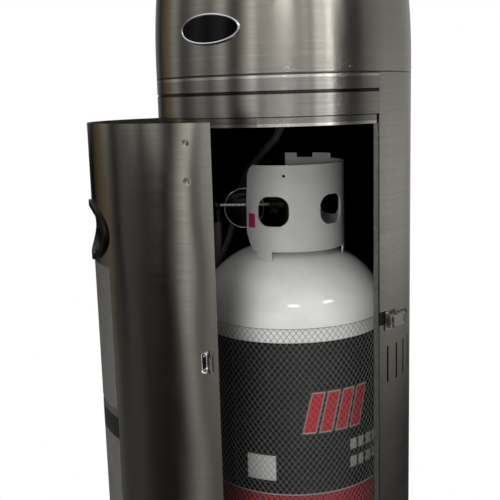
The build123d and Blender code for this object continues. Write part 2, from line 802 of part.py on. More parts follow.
bail_half = lever_width / 2 + bail_side_gap + bail_wire / 2
with BuildPart() as latch_bail:
    with BuildLine(latch_plane.offset(bail_pivot_rise)):
        wire = FilletPolyline((bail_pivot_x, lever_inner + lever_sheet / 4),
                              (bail_pivot_x, bail_half),
                              (bail_pivot_x + bail_length, bail_half),
                              (bail_pivot_x + bail_length, -bail_half),
                              (bail_pivot_x, -bail_half),
                              (bail_pivot_x, -lever_inner - lever_sheet / 4),
                              radius=(bail_bend, bail_corner, bail_corner, bail_bend))
    with BuildSketch(Plane(origin=wire @ 0, z_dir=wire % 0)):
        Circle(bail_wire / 2)
    sweep()
finish(latch_bail, "latch_bail")

# Keeper on the door: a riveted plate with a hook that the bail pulls on
keeper_plane = wall_plane(keeper_angle, body_radius + seat_gap, keeper_height, door)
keeper_rivet_x = -keeper_width / 2 + 2 * rivet_radius
hook_x = keeper_rivet_x + keeper_hook_inset
with BuildPart() as door_keeper:
    with BuildSketch(keeper_plane):
        RectangleRounded(keeper_width, keeper_tall, rivet_radius)
    extrude(amount=keeper_sheet)
    hook_tall = keeper_rivet_pitch
    hook_origin = keeper_plane.from_local_coords(Vector(0, hook_tall / 2, 0))
    with BuildSketch(Plane(origin=hook_origin, x_dir=keeper_plane.x_dir, z_dir=-keeper_plane.y_dir)):
        with Locations((hook_x + keeper_sheet / 2 + keeper_hook_reach, keeper_hook_rise / 2)):
            Rectangle(keeper_sheet, keeper_hook_rise)
        with Locations((hook_x + keeper_sheet + keeper_hook_reach / 2,
                        keeper_hook_rise - keeper_sheet / 2)):
            Rectangle(keeper_hook_reach, keeper_sheet)
    extrude(amount=hook_tall)
    with BuildSketch(keeper_plane):
        with Locations((keeper_rivet_x, keeper_rivet_pitch / 2), (keeper_rivet_x, -keeper_rivet_pitch / 2)):
            Circle(rivet_radius / 2 + running_fit)
    extrude(amount=keeper_sheet, mode=Mode.SUBTRACT)
finish(door_keeper, "door_keeper")

with BuildPart() as keeper_rivets:
    for side in (-1, 1):
        middle = keeper_plane.from_local_coords(Vector(keeper_rivet_x, side * keeper_rivet_pitch / 2, 0))
        base = Plane(origin=middle, x_dir=keeper_plane.x_dir, z_dir=keeper_plane.z_dir)
        with BuildSketch(base):
            Circle(rivet_radius / 2)
        extrude(amount=keeper_sheet + seat_gap / 3)
        with BuildSketch(base.offset(keeper_sheet + seat_gap / 3)):
            Circle(rivet_radius)
        extrude(amount=rivet_head, taper=rivet_taper)
finish(keeper_rivets, "keeper_rivets")

# Socket plate: sits on the top ring's shelf and holds the post in a gusseted tube
plate_low = shelf_top + seat_gap
plate_high = plate_low + socket_plate
socket_inner = post_radius + seat_gap
socket_outer = socket_inner + socket_wall
plate_outer = behind_skin - dome_sheet - tray_clearance
with BuildPart() as post_base:
    ring((socket_hole, plate_outer), (plate_low, plate_high), housing)
    ring((socket_inner, socket_outer), (plate_high, plate_high + socket_height), housing)
    for count in range(gusset_count):
        with BuildSketch(section_plane(count * 360.0 / gusset_count, housing)):
            with BuildLine():
                Polyline((socket_inner + socket_wall / 2, plate_high - socket_plate / 2),
                         (socket_outer + gusset_reach, plate_high - socket_plate / 2),
                         (socket_inner + socket_wall / 2, plate_high + gusset_height), close=True)
            make_face()
        extrude(amount=socket_wall / 2, both=True)
finish(post_base, "post_base")

# Post and the trim ring that closes the dome's mouth round it
post_low = plate_high + seat_gap
with BuildPart() as post:
    ring((post_radius - post_wall, post_radius), (post_low, post_top), housing)
finish(post, "post")

with BuildPart() as post_trim_ring:
    trim_low = mouth_height + seat_gap
    ring((post_radius + seat_gap, post_radius + seat_gap + trim_ring_width),
         (trim_low, trim_low + trim_ring_height), housing)
    chamfer(post_trim_ring.edges().group_by(Axis.Z)[-1].sort_by(SortBy.LENGTH)[-1],
            trim_ring_height / 4)
finish(post_trim_ring, "post_trim_ring")

# Gas bottle: steel vessel with a drawn head at each end and a bored neck
head_top = bottle_top_corner + bottle_upper_head
neck_top = head_top + neck_height
outlet_height = neck_top + outlet_rise
valve_top = outlet_height + valve_cap_rise
regulator_z = outlet_height - regulator_drop


def vessel(inset, mode):
    """The vessel's round body and its two heads, drawn inwards by an inset."""
    with BuildSketch(section_plane(0, bottle)) as half:
        with BuildLine():
            low_arc = EllipticalCenterArc((0, bottle_lower_corner), bottle_radius - inset,
                                          bottle_lower_head - inset, start_angle=270, arc_size=90)
            high_arc = EllipticalCenterArc((0, bottle_top_corner), bottle_radius - inset,
                                           bottle_upper_head - inset, start_angle=0, arc_size=90)
            Line(low_arc @ 1, high_arc @ 0)
            Line(high_arc @ 1, low_arc @ 0)
        make_face()
    revolve(half.sketch, axis=wall_axis(bottle), mode=mode)


with BuildPart() as bottle_shell:
    vessel(0.0, Mode.ADD)
    ring((0, neck_radius), (head_top - neck_height, neck_top), bottle)
    vessel(bottle_wall, Mode.SUBTRACT)
    ring((0, neck_bore), (head_top - 3 * neck_height, neck_top), bottle, Mode.SUBTRACT)
finish(bottle_shell, "bottle_shell")


def head_height(radius, centre_height, half_height):
    """The height of an elliptical head at a radius from the bottle's axis."""
    return centre_height + half_height * sqrt(1 - (radius / bottle_radius) ** 2)


# Foot ring of the bottle, cut to the lower head
foot_top = head_height(foot_radius, bottle_lower_corner, -bottle_lower_head)
with BuildPart() as bottle_foot:
    with BuildSketch(section_plane(0, bottle)):
        with BuildLine():
            inner_top = head_height(foot_radius - foot_wall, bottle_lower_corner, -bottle_lower_head)
            Polyline((foot_radius - foot_wall, tray_top + seat_gap), (foot_radius, tray_top + seat_gap),
                     (foot_radius, foot_top - seat_gap), (foot_radius - foot_wall, inner_top - seat_gap),
                     close=True)
        make_face()
    revolve(axis=wall_axis(bottle))
finish(bottle_foot, "bottle_foot")

# Guard collar round the valve: hand holes, two feet at each end and an open arch between them
collar_top = tray_top + seat_gap + bottle_height
collar_inner = collar_radius - collar_wall
collar_seat = head_height(collar_inner, bottle_top_corner, bottle_upper_head) + seat_gap


def collar_cut(angle, height, width, tall, corner):
    """A rounded window through one side of the collar."""
    with BuildSketch(wall_plane(angle, collar_inner / 2, height, bottle)) as window:
        RectangleRounded(width, tall, corner)
    extrude(window.sketch, amount=collar_radius, mode=Mode.SUBTRACT)


with BuildPart() as bottle_collar:
    wall_strip((collar_from, collar_to), (collar_inner, collar_radius), (collar_low, collar_top), bottle)
    wall_strip((collar_rise_angle, collar_to), (collar_inner, collar_radius),
               (collar_top - bottle_wall, collar_top + collar_back_rise), bottle)
    wall_strip(collar_notch, (collar_inner - bottle_wall, collar_radius + bottle_wall),
               (collar_top, collar_top + 2 * collar_back_rise), bottle, Mode.SUBTRACT)
    for angles in collar_feet:
        wall_strip(angles, (collar_inner, collar_radius), (collar_seat, collar_low + bottle_wall), bottle)
    for angle in (hand_hole_angle, hand_hole_second_angle, hand_hole_back_angle):
        collar_cut(angle, collar_top - hand_hole_drop, hand_hole_width, hand_hole_tall, hand_hole_corner)
    with BuildSketch(wall_plane(small_hole_angle, collar_inner / 2, collar_top - small_hole_drop, bottle)):
        Circle(small_hole_size / 2)
    extrude(amount=collar_radius, mode=Mode.SUBTRACT)
    end_points = (*collar_end_top[::-1], *collar_end_side, *collar_end_foot)
    with BuildSketch(wall_plane(collar_end_angle, collar_inner / 2, 0, bottle)):
        with BuildLine():
            Polyline(*end_points, (end_points[-1][0], collar_low - bottle_wall),
                     (-collar_inner / 2, collar_low - bottle_wall),
                     (-collar_inner / 2, collar_top + bottle_wall),
                     (end_points[0][0], collar_top + bottle_wall), close=True)
        make_face()
    extrude(amount=collar_radius, mode=Mode.SUBTRACT)
finish(bottle_collar, "bottle_collar")

# Printed sleeve round the bottle and the plastic net drawn over it
with BuildPart() as bottle_sleeve:
    sleeve_inner = bottle_radius + seat_gap
    ring((sleeve_inner, sleeve_inner + sleeve_sheet), (sleeve_low, sleeve_high), bottle)
finish(bottle_sleeve, "bottle_sleeve")

with BuildPart() as bottle_net:
    net_inner = sleeve_inner + sleeve_sheet + seat_gap
    ring((net_inner, net_inner + net_thickness), (net_low, net_high), bottle)
finish(bottle_net, "bottle_net")

# Bottle valve: a brass body screwed into the neck, with its outlet to the left
with BuildPart() as bottle_valve:
    ring((0, valve_body_radius), (neck_top + seat_gap, valve_top), bottle)
    ring((0, neck_bore - running_fit), (head_top - neck_height, neck_top + seat_gap), bottle)
    with BuildSketch(Plane(origin=(bottle_offset, 0, outlet_height), z_dir=(-1, 0, 0))):
        Circle(outlet_radius)
    extrude(amount=outlet_end)
    ring((0, stem_radius), (valve_top, valve_top + stem_height), bottle)
finish(bottle_valve, "bottle_valve")

# Hand wheel on the valve's stem, with finger scallops round its rim
with BuildPart() as valve_handwheel:
    wheel_low = valve_top + seat_gap
    ring((stem_radius + running_fit, hand_wheel_radius), (wheel_low, wheel_low + hand_wheel_thickness),
         bottle)
    with BuildSketch(Plane((bottle_offset, 0, wheel_low))):
        with PolarLocations(hand_wheel_radius + scallop_offset, hand_wheel_scallops):
            Circle(scallop_radius)
    extrude(amount=hand_wheel_thickness, mode=Mode.SUBTRACT)
finish(valve_handwheel, "valve_handwheel")

# Coupling nut that turns on the valve's outlet
nut_start = bottle_offset - outlet_end + nut_length
with BuildPart() as coupling_nut:
    with BuildSketch(Plane(origin=(nut_start, 0, outlet_height), z_dir=(-1, 0, 0))):
        Circle(nut_radius)
        with PolarLocations(nut_radius + nut_flute_radius / 2, nut_flutes):
            Circle(nut_flute_radius, mode=Mode.SUBTRACT)
        Circle(outlet_radius + running_fit, mode=Mode.SUBTRACT)
    extrude(amount=nut_length)
finish(coupling_nut, "coupling_nut")

# Regulator: two crimped discs, a pipe through its lower half and an elbow down to the hose
regulator_inlet = nut_start - nut_length - seat_gap
hose_start = (regulator_outlet_x, 0.0, outlet_height - regulator_pipe_radius - ferrule_length)
with BuildPart() as regulator:
    with BuildSketch(Plane(origin=(regulator_x, regulator_y, regulator_z), z_dir=(0, -1, 0))):
        Circle(regulator_radius - regulator_rim)
    extrude(amount=regulator_thickness / 2, both=True)
    with BuildSketch(Plane(origin=(regulator_x, regulator_y, regulator_z), z_dir=(0, -1, 0))):
        Circle(regulator_radius)
    extrude(amount=regulator_rim, both=True)
    with BuildSketch(Plane(origin=(regulator_x, regulator_y, regulator_z), z_dir=(0, -1, 0))):
        Circle(regulator_cap_radius)
    extrude(amount=regulator_y + regulator_pipe_radius / 2)
    with BuildSketch(Plane(origin=(regulator_inlet, 0, outlet_height), z_dir=(-1, 0, 0))):
        Circle(regulator_pipe_radius)
    extrude(amount=regulator_inlet - regulator_outlet_x + regulator_pipe_radius)
    with BuildSketch(Plane((regulator_outlet_x, 0, hose_start[2] + ferrule_length))):
        Circle(regulator_pipe_radius)
    extrude(amount=regulator_pipe_radius)
finish(regulator, "regulator")

# Ferrules at the hose's two ends
with BuildPart() as hose_fitting:
    with BuildSketch(Plane((hose_start[0], hose_start[1], hose_start[2]))):
        Circle(ferrule_radius)
    extrude(amount=ferrule_length - seat_gap)
finish(hose_fitting, "hose_fitting")

hose_end = (0.0, 0.0, plate_low - ferrule_length / 2)
with BuildPart() as pipe_coupling:
    with BuildSketch(Plane(hose_end)):
        Circle(ferrule_radius)
    extrude(amount=ferrule_length)
    with BuildSketch(Plane((*hose_end[:2], hose_end[2] + ferrule_length / 2))):
        Circle(socket_hole - seat_gap)
    extrude(amount=socket_plate)
finish(pipe_coupling, "pipe_coupling")

# Gas hose: from the regulator down past the bottle's shoulder, back and up to the post
hose_route = (hose_start, *hose_bends, hose_end)


def corner_radii(points):
    """The largest arc that each corner's two runs allow."""
    radii = []
    for before, here, after in zip(points, points[1:], points[2:]):
        first, second = Vector(here) - Vector(before), Vector(after) - Vector(here)
        half_turn_angle = radians(first.get_angle(second)) / 2
        radii.append(hose_arc_share * min(first.length, second.length) / tan(half_turn_angle))
    return radii


hose_radii = corner_radii(hose_route)
print("hose bend radii", [round(radius, 1) for radius in hose_radii])
with BuildPart() as gas_hose:
    with BuildLine():
        hose_path = FilletPolyline(*hose_route, radius=hose_radii)
    with BuildSketch(Plane(origin=hose_path @ 0, z_dir=hose_path % 0)):
        Circle(hose_radius)
    sweep()
print("hose length", round(hose_path.length, 1), "volume share",
      round(gas_hose.part.volume / (pi * hose_radius ** 2 * hose_path.length), 4))
finish(gas_hose, "gas_hose")

# Gas pipe: up the middle of the post and forward to the control valve
control_inner = control_radius - control_sheet
valve_centre_y = seat_gap + valve_block[1] / 2 - sqrt(control_inner ** 2 - (valve_block[0] / 2) ** 2)
pipe_start = hose_end[2] + ferrule_length + seat_gap
with BuildPart() as gas_pipe:
    with BuildLine():
        pipe_path = FilletPolyline((0, 0, pipe_start), (0, 0, knob_height),
                                   (0, valve_centre_y + valve_block[1] / 2 + seat_gap, knob_height),
                                   radius=pipe_bend)
    with BuildSketch(Plane((0, 0, pipe_start))):
        Circle(pipe_radius)
    sweep()
finish(gas_pipe, "gas_pipe")

# Control housing: neck over the post, cone, and a drum that holds the valve and igniter
neck_low = post_top - control_neck
neck_inner = post_radius + seat_gap
with BuildPart() as control_housing:
    with BuildSketch(Plane.XZ):
        with BuildLine():
            Polyline((neck_inner, neck_low), (neck_inner + control_sheet, neck_low),
                     (neck_inner + control_sheet, post_top), (control_radius, control_cone_top),
                     (control_radius, control_top), (control_radius - control_sheet, control_top),
                     (control_radius - control_sheet, control_cone_top + control_sheet),
                     (neck_inner, post_top + 2 * control_sheet),
                     (post_radius - 2 * post_wall, post_top + 2 * control_sheet),
                     (post_radius - 2 * post_wall, post_top + seat_gap),
                     (neck_inner, post_top + seat_gap), close=True)
        make_face()
    revolve(axis=Axis.Z)
    with BuildSketch(wall_plane(0, control_radius / 2, knob_height, housing)):
        Circle(stem_radius + hole_gap)
    extrude(amount=control_radius, mode=Mode.SUBTRACT)
    with BuildSketch(wall_plane(button_angle, control_radius / 2, knob_height, housing)):
        Circle(button_stem_radius + hole_gap)
    extrude(amount=control_radius, mode=Mode.SUBTRACT)
finish(control_housing, "control_housing")

# Control valve with its stem through the housing, and the knob on the stem
with BuildPart() as gas_valve:
    with BuildSketch(Plane((0, valve_centre_y, knob_height - valve_block[2] / 2))):
        RectangleRounded(valve_block[0], valve_block[1], stem_radius / 2)
    extrude(amount=valve_block[2])
    with BuildSketch(wall_plane(0, -valve_centre_y, knob_height, housing)):
        Circle(stem_radius)
    extrude(amount=control_radius + valve_centre_y + knob_bore - hole_gap)
finish(gas_valve, "gas_valve")

with BuildPart() as control_knob:
    with BuildSketch(wall_plane(0, control_radius + seat_gap, knob_height, housing)):
        Circle(knob_radius)
    extrude(amount=knob_skirt, taper=knob_draft)
    with BuildSketch(wall_plane(0, control_radius + seat_gap, knob_height, housing)):
        SlotOverall(*knob_grip, rotation=90)
    extrude(amount=knob_length)
    with BuildSketch(wall_plane(0, control_radius, knob_height, housing)):
        Circle(stem_radius + running_fit)
    extrude(amount=knob_bore, mode=Mode.SUBTRACT)
finish(control_knob, "control_knob")

# Igniter: a fixed body behind the wall and a sprung button that slides in it
button_seat = sqrt(control_inner ** 2 - igniter_radius ** 2) - seat_gap
with BuildPart() as igniter_body:
    with BuildSketch(wall_plane(button_angle, button_seat - igniter_length, knob_height, housing)):
        Circle(igniter_radius)
    extrude(amount=igniter_length)
    with BuildSketch(wall_plane(button_angle, button_seat - igniter_length / 2, knob_height, housing)):
        Circle(button_stem_radius + running_fit)
    extrude(amount=igniter_length, mode=Mode.SUBTRACT)
finish(igniter_body, "igniter_body")

with BuildPart() as igniter_button:
    with BuildSketch(wall_plane(button_angle, control_radius + button_travel + hole_gap, knob_height,
                                housing)):
        Circle(button_radius)
    extrude(amount=button_length - button_travel)
    button_inner = button_seat - igniter_length / 2 + button_travel + hole_gap
    with BuildSketch(wall_plane(button_angle, button_inner, knob_height, housing)):
        Circle(button_stem_radius)
    extrude(amount=control_radius + button_travel + 2 * hole_gap - button_inner)
finish(igniter_button, "igniter_button")

# Tilt switch: cuts the gas off when the heater leans
with BuildPart() as tilt_switch:
    switch_seat = sqrt(control_inner ** 2 - (tilt_switch_size[0] / 2) ** 2) - seat_gap
    with BuildSketch(wall_plane(180, switch_seat - tilt_switch_size[1], knob_height, housing)):
        RectangleRounded(tilt_switch_size[0], tilt_switch_size[2], stem_radius)
    extrude(amount=tilt_switch_size[1])
finish(tilt_switch, "tilt_switch")

# Burner: a plate on the control housing, a mixing tube and a cup with the flame ports
plate_base = control_top + seat_gap
cup_low = plate_base + burner_plate_sheet
with BuildPart() as burner_head:
    ring((0, burner_plate_radius), (plate_base, cup_low), housing)
    ring((burner_cup_radius - burner_plate_sheet, burner_cup_radius),
         (cup_low, cup_low + burner_cup_height), housing)
    ring((0, burner_cup_radius), (cup_low + burner_cup_height, cup_low + burner_cup_height
                                  + burner_plate_sheet), housing)
    with BuildSketch(Plane.XY.offset(cup_low + burner_cup_height / 2)):
        with PolarLocations(burner_cup_radius, flame_port_count):
            Rectangle(3 * burner_plate_sheet, flame_port_width)
    extrude(amount=burner_cup_height / 3, mode=Mode.SUBTRACT)
    with BuildSketch(Plane((0, valve_centre_y, knob_height + valve_block[2] / 2 + seat_gap))):
        Circle(mixing_tube_radius)
    extrude(amount=plate_base - knob_height - valve_block[2] / 2)
finish(burner_head, "burner_head")

# Pilot: tube, thermocouple and spark electrode side by side on the burner plate
with BuildPart() as pilot_assembly:
    spot = around(pilot_angle, pilot_radius)
    pilot_low = cup_low + seat_gap
    with BuildSketch(Plane((*spot, pilot_low))):
        RectangleRounded(*pilot_bracket, pilot_sheet / 2)
    extrude(amount=pilot_sheet)
    for shift, height in ((-pilot_pitch, pilot_heights[0]), (0.0, pilot_heights[1]),
                          (pilot_pitch, pilot_heights[2])):
        with BuildSketch(Plane((spot[0] + shift, spot[1], pilot_low + pilot_sheet / 2))):
            Circle(pilot_rod_radius)
        extrude(amount=height)
finish(pilot_assembly, "pilot_assembly")

# Emitter screen and the cap that closes it and carries the reflector
screen_low = cup_low + seat_gap
screen_high = screen_low + emitter_height
with BuildPart() as emitter_screen:
    ring((emitter_radius - emitter_sheet, emitter_radius), (screen_low, screen_high), housing)
finish(emitter_screen, "emitter_screen")

cap_low = screen_high + seat_gap
cap_high = cap_low + cap_sheet
with BuildPart() as emitter_cap:
    ring((0, cap_radius), (cap_low, cap_high), housing)
    ring((cap_radius - cap_sheet, cap_radius), (cap_low - cap_rim, cap_low), housing)
finish(emitter_cap, "emitter_cap")

# Reflector: a shallow spun dish with a beaded rim
dish_radius = (reflector_radius ** 2 + reflector_rise ** 2) / (2 * reflector_rise)
reflector_rim_height = cap_high + reflector_lift
reflector_top = reflector_rim_height + reflector_rise


def dish_height(radius, sphere_radius):
    """The height of the dish's surface at a radius from the middle."""
    return reflector_top - dish_radius + sqrt(sphere_radius ** 2 - radius ** 2)


with BuildPart() as reflector:
    rim = reflector_radius - reflector_bead
    inner_dish = dish_radius - reflector_sheet
    with BuildSketch(Plane.XZ):
        with BuildLine():
            over = RadiusArc((0, reflector_top), (rim, dish_height(rim, dish_radius)), dish_radius)
            under = RadiusArc((0, dish_height(0, inner_dish)), (rim, dish_height(rim, inner_dish)),
                              inner_dish)
            Line(over @ 0, under @ 0)
            Line(over @ 1, under @ 1)
        make_face()
        with Locations((rim, dish_height(rim, inner_dish))):
            Circle(reflector_bead)
    revolve(axis=Axis.Z)
    with BuildSketch(Plane.XY.offset(reflector_rim_height)):
        with PolarLocations(stud_circle_radius, stud_count, start_angle=90):
            Circle(stud_radius + hole_gap)
    extrude(amount=2 * reflector_rise, mode=Mode.SUBTRACT)
finish(reflector, "reflector")

# Studs from the cap to the reflector, each with a shoulder under it and a wing nut on top
seat_under = dish_height(stud_circle_radius + stud_shoulder_radius, inner_dish) - seat_gap
stud_top = reflector_top + stud_end
with BuildPart() as reflector_studs:
    with BuildSketch(Plane.XY.offset(cap_high + seat_gap)):
        with PolarLocations(stud_circle_radius, stud_count, start_angle=90):
            Circle(stud_radius)
    extrude(amount=stud_top - cap_high - seat_gap)
    for start in (seat_under - stud_shoulder_height, cap_high + seat_gap):
        with BuildSketch(Plane.XY.offset(start)):
            with PolarLocations(stud_circle_radius, stud_count, start_angle=90):
                Circle(stud_shoulder_radius)
        extrude(amount=stud_shoulder_height)
finish(reflector_studs, "reflector_studs")

nut_low = dish_height(stud_circle_radius - nut_hub_radius, dish_radius) + seat_gap
with BuildPart() as wing_nuts:
    for angle in (90 + turn * 360 / stud_count for turn in range(stud_count)):
        spot = (stud_circle_radius * cos(radians(angle)), stud_circle_radius * sin(radians(angle)))
        with BuildSketch(Plane((*spot, nut_low))):
            Circle(nut_hub_radius)
        extrude(amount=nut_hub_height)
        with BuildSketch(Plane((*spot, nut_low + nut_hub_height / 3))):
            Rectangle(2 * (nut_hub_radius + nut_wing), cap_sheet)
        extrude(amount=nut_hub_height)
        with BuildSketch(Plane((*spot, nut_low))):
            Circle(stud_radius + running_fit)
        extrude(amount=2 * nut_hub_height, mode=Mode.SUBTRACT)
finish(wing_nuts, "wing_nuts")

# Wheel bracket on the base plate's back edge, the axle through it and two wheels
bracket_front = body_radius + bracket_front_gap
bracket_top = axle_height + 2 * axle_radius
with BuildPart() as wheel_bracket:
    foot_depth = bracket_back - bracket_front
    with BuildSketch(Plane((0, bracket_front + foot_depth / 2, floor_top))):
        Rectangle(2 * bracket_half_width, foot_depth)
    extrude(amount=bracket_sheet)
    with BuildSketch(Plane((0, bracket_front + bracket_sheet / 2, floor_top))):
        Rectangle(2 * bracket_half_width, bracket_sheet)
    extrude(amount=bracket_top - floor_top)
    for side in (-1, 1):
        cheek_x = side * (bracket_half_width - bracket_sheet / 2) - bracket_sheet / 2
        with BuildSketch(Plane(origin=(cheek_x, 0, 0), x_dir=(0, 1, 0), z_dir=(1, 0, 0))):
            with BuildLine():
                Polyline((bracket_front, floor_top), (bracket_front + foot_depth, floor_top),
                         (axle_y + 2 * axle_radius, axle_height - 2 * axle_radius),
                         (axle_y + 2 * axle_radius, bracket_top), (bracket_front, bracket_top),
                         close=True)
            make_face()
        extrude(amount=bracket_sheet)
    with BuildSketch(Plane(origin=(-bracket_half_width, axle_y, axle_height), z_dir=(1, 0, 0))):
        Circle(axle_radius + running_fit)
    extrude(amount=2 * bracket_half_width, mode=Mode.SUBTRACT)
finish(wheel_bracket, "wheel_bracket")

wheel_start = bracket_half_width + wheel_side_gap
axle_half = wheel_start + wheel_width + seat_gap
with BuildPart() as wheel_axle:
    with BuildSketch(Plane(origin=(-axle_half, axle_y, axle_height), z_dir=(1, 0, 0))):
        Circle(axle_radius)
    extrude(amount=2 * axle_half)
    for start in (-axle_half - wheel_cap, axle_half):
        with BuildSketch(Plane(origin=(start, axle_y, axle_height), z_dir=(1, 0, 0))):
            Circle(2 * axle_radius)
        extrude(amount=wheel_cap)
finish(wheel_axle, "wheel_axle")

for name, start in (("wheel_left", -wheel_start - wheel_width), ("wheel_right", wheel_start)):
    with BuildPart() as wheel:
        with BuildSketch(Plane(origin=(start, axle_y, axle_height), z_dir=(1, 0, 0))):
            Circle(wheel_radius)
            Circle(axle_radius + running_fit, mode=Mode.SUBTRACT)
        extrude(amount=wheel_width)
        fillet(wheel.edges().filter_by(GeomType.CIRCLE).sort_by(SortBy.RADIUS)[-2:], wheel_edge)
    finish(wheel, name)
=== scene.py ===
# %% [markdown]
# # A gas patio heater with its door open
#
# This notebook dresses a finished CAD model of a patio heater. The solids are right in size
# and place, so nothing here moves them. Each step gives a piece its real surface, or swaps a
# plain solid for a finer mesh of the same size.

# %% Load the model
from math import asin, cos, pi, radians, sin, sqrt

import bmesh
import bpy
from mathutils import Matrix, Vector


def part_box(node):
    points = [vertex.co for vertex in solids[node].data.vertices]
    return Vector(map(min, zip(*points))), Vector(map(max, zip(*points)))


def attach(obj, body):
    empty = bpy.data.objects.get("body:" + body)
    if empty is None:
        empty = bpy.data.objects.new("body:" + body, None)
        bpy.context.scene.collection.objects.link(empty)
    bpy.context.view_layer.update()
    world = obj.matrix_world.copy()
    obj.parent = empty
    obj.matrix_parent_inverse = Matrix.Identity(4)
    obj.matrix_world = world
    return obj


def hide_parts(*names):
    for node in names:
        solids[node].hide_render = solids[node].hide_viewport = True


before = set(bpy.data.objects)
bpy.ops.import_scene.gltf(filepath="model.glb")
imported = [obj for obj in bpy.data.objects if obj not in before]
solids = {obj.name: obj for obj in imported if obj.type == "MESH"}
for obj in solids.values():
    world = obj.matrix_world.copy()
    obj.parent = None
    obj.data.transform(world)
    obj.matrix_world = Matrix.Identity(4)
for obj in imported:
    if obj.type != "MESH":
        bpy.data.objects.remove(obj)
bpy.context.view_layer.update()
MM = 0.001

# %% [markdown]
# ## Measures shared by many pieces
#
# The heater is built from round walls, so a place on it is an angle from the front, a radius
# and a height. The door is a slice of the same round wall, swung on its hinge, so its centre
# is worked out by turning the housing's axis about the hinge.

# %% Round walls
BODY_RADIUS = 206.0
DOOR_OPEN = 43.2
HINGE_ANGLE = -104.4
BOTTLE_CENTRE = (6.9, 0.0)


def around(angle, radius, centre=(0.0, 0.0)):
    """A plan point at an angle from the front, in millimetres."""
    return (centre[0] + radius * sin(radians(angle)), centre[1] - radius * cos(radians(angle)))


def door_centre():
    """The housing's axis, turned with the open door about its hinge."""
    hinge = around(HINGE_ANGLE, BODY_RADIUS - 0.5)
    turn = radians(-DOOR_OPEN)
    x, y = -hinge[0], -hinge[1]
    return (hinge[0] + x * cos(turn) - y * sin(turn), hinge[1] + x * sin(turn) + y * cos(turn))


DOOR_CENTRE = door_centre()
print("door centre, mm:", [round(value, 1) for value in DOOR_CENTRE])


# %% [markdown]
# ## Colours and nodes
#
# Colours are given as sRGB hex values, but a shader works in linear light, so one
# function converts them. One more function adds a node, sets it and links it, which keeps
# every material below to a few readable lines.

# %% Helpers for materials
def tint(code, alpha=1.0):
    """An sRGB hex colour as linear red, green, blue and alpha."""
    values = [int(code[i:i + 2], 16) / 255 for i in (1, 3, 5)]
    return (*[v / 12.92 if v <= 0.04045 else ((v + 0.055) / 1.055) ** 2.4 for v in values], alpha)


def add(tree, kind, inputs=None, **settings):
    """Adds a node, sets its properties, then sets or links its inputs."""
    node = tree.nodes.new(kind)
    for name, value in settings.items():
        setattr(node, name, value)
    for key, value in (inputs or {}).items():
        if isinstance(value, bpy.types.NodeSocket):
            tree.links.new(value, node.inputs[key])
        else:
            node.inputs[key].default_value = value
    return node


def ramp(tree, factor, stops, mode="LINEAR"):
    """A colour ramp with the given stops: position and linear colour."""
    node = add(tree, "ShaderNodeValToRGB", {"Fac": factor})
    node.color_ramp.interpolation = mode
    elements = node.color_ramp.elements
    while len(elements) < len(stops):
        elements.new(0.5)
    # Every place is set before any colour, because the stops sort themselves as they move.
    for element, stop in zip(elements, stops):
        element.position = stop[0]
    for element, stop in zip(elements, stops):
        element.color = stop[1]
    return node.outputs["Color"]


def grey(value):
    """A linear grey."""
    return (value, value, value, 1.0)


def math(tree, operation, first, second=0.0, third=0.0):
    """One Math node's result."""
    node = add(tree, "ShaderNodeMath", {0: first, 1: second, 2: third}, operation=operation)
    return node.outputs[0]


def vector(tree, operation, first, second=(0, 0, 0)):
    """One Vector Math node, by its inputs."""
    return add(tree, "ShaderNodeVectorMath", {0: first, 1: second}, operation=operation)


def blend_colours(tree, factor, first, second, mode="MIX"):
    """Two colours mixed by a factor."""
    node = add(tree, "ShaderNodeMix", {0: factor, 6: first, 7: second},
               data_type="RGBA", blend_type=mode)
    return node.outputs[2]


def new_material(name):
    """A material with a bare node tree, its Principled shader and its object coordinates."""
    material = bpy.data.materials.new(name)
    material.use_nodes = True
    tree = material.node_tree
    tree.nodes.clear()
    shader = add(tree, "ShaderNodeBsdfPrincipled")
    add(tree, "ShaderNodeOutputMaterial", {"Surface": shader.outputs[0]})
    place = add(tree, "ShaderNodeTexCoord").outputs["Object"]
    return material, tree, shader, place


def noise(tree, place, scale, detail=3.0, roughness=0.5):
    """A noise field from 0 to 1 at a scale per metre."""
    node = add(tree, "ShaderNodeTexNoise", {"Vector": place, "Scale": scale, "Detail": detail,
                                            "Roughness": roughness})
    return node.outputs["Fac"]


def wire(tree, shader, **values):
    """Links values into a shader's own sockets."""
    for name, value in values.items():
        tree.links.new(value, shader.inputs[name.replace("_", " ")])


def bump(tree, shader, height, distance, strength=1.0):
    """Raises the surface by a height field, with its depth in metres."""
    node = add(tree, "ShaderNodeBump", {"Height": height, "Distance": distance,
                                        "Strength": strength})
    wire(tree, shader, Normal=node.outputs["Normal"])


def fill(shader, **values):
    """Sets plain values on a shader's own sockets."""
    for name, value in values.items():
        shader.inputs[name.replace("_", " ")].default_value = value


def dress(material, *names):
    """Gives CAD solids a material."""
    for name in names:
        mesh = solids[name].data
        mesh.materials.clear()
        mesh.materials.append(material)
    print(material.name, "on", len(names), "solids")


def in_scene(name, data):
    """A new object in the scene for a mesh, a curve, a lamp or a camera."""
    thing = bpy.data.objects.new(name, data)
    bpy.context.collection.objects.link(thing)
    return thing


# %% [markdown]
# ## Brushed stainless steel
#
# The housing, the dome and the door are stainless sheet brushed round the circumference. Fine
# scratches that run one way spread a reflection across them, so the eye sees tall soft streaks
# instead of a mirror picture. Anisotropy does that, with its tangent square to the scratches.
# The scratches themselves are noise that is stretched along the circle. Real ones are about
# 0.1 mm apart. They are drawn 1 mm and 6 mm apart, so that they show at this distance.

# %% Brushed stainless steel
# Two sets of scratches: changes along the circle and across it, per metre, and their detail.
SCRATCHES = ((5.0, 900.0, 2.0), (3.0, 160.0, 3.0))
SCRATCH_DEPTH = 0.00001
STEEL_GRIME = "#6d6963"
WELD_RADIUS = 0.006
WELD_DEPTH = 0.0005


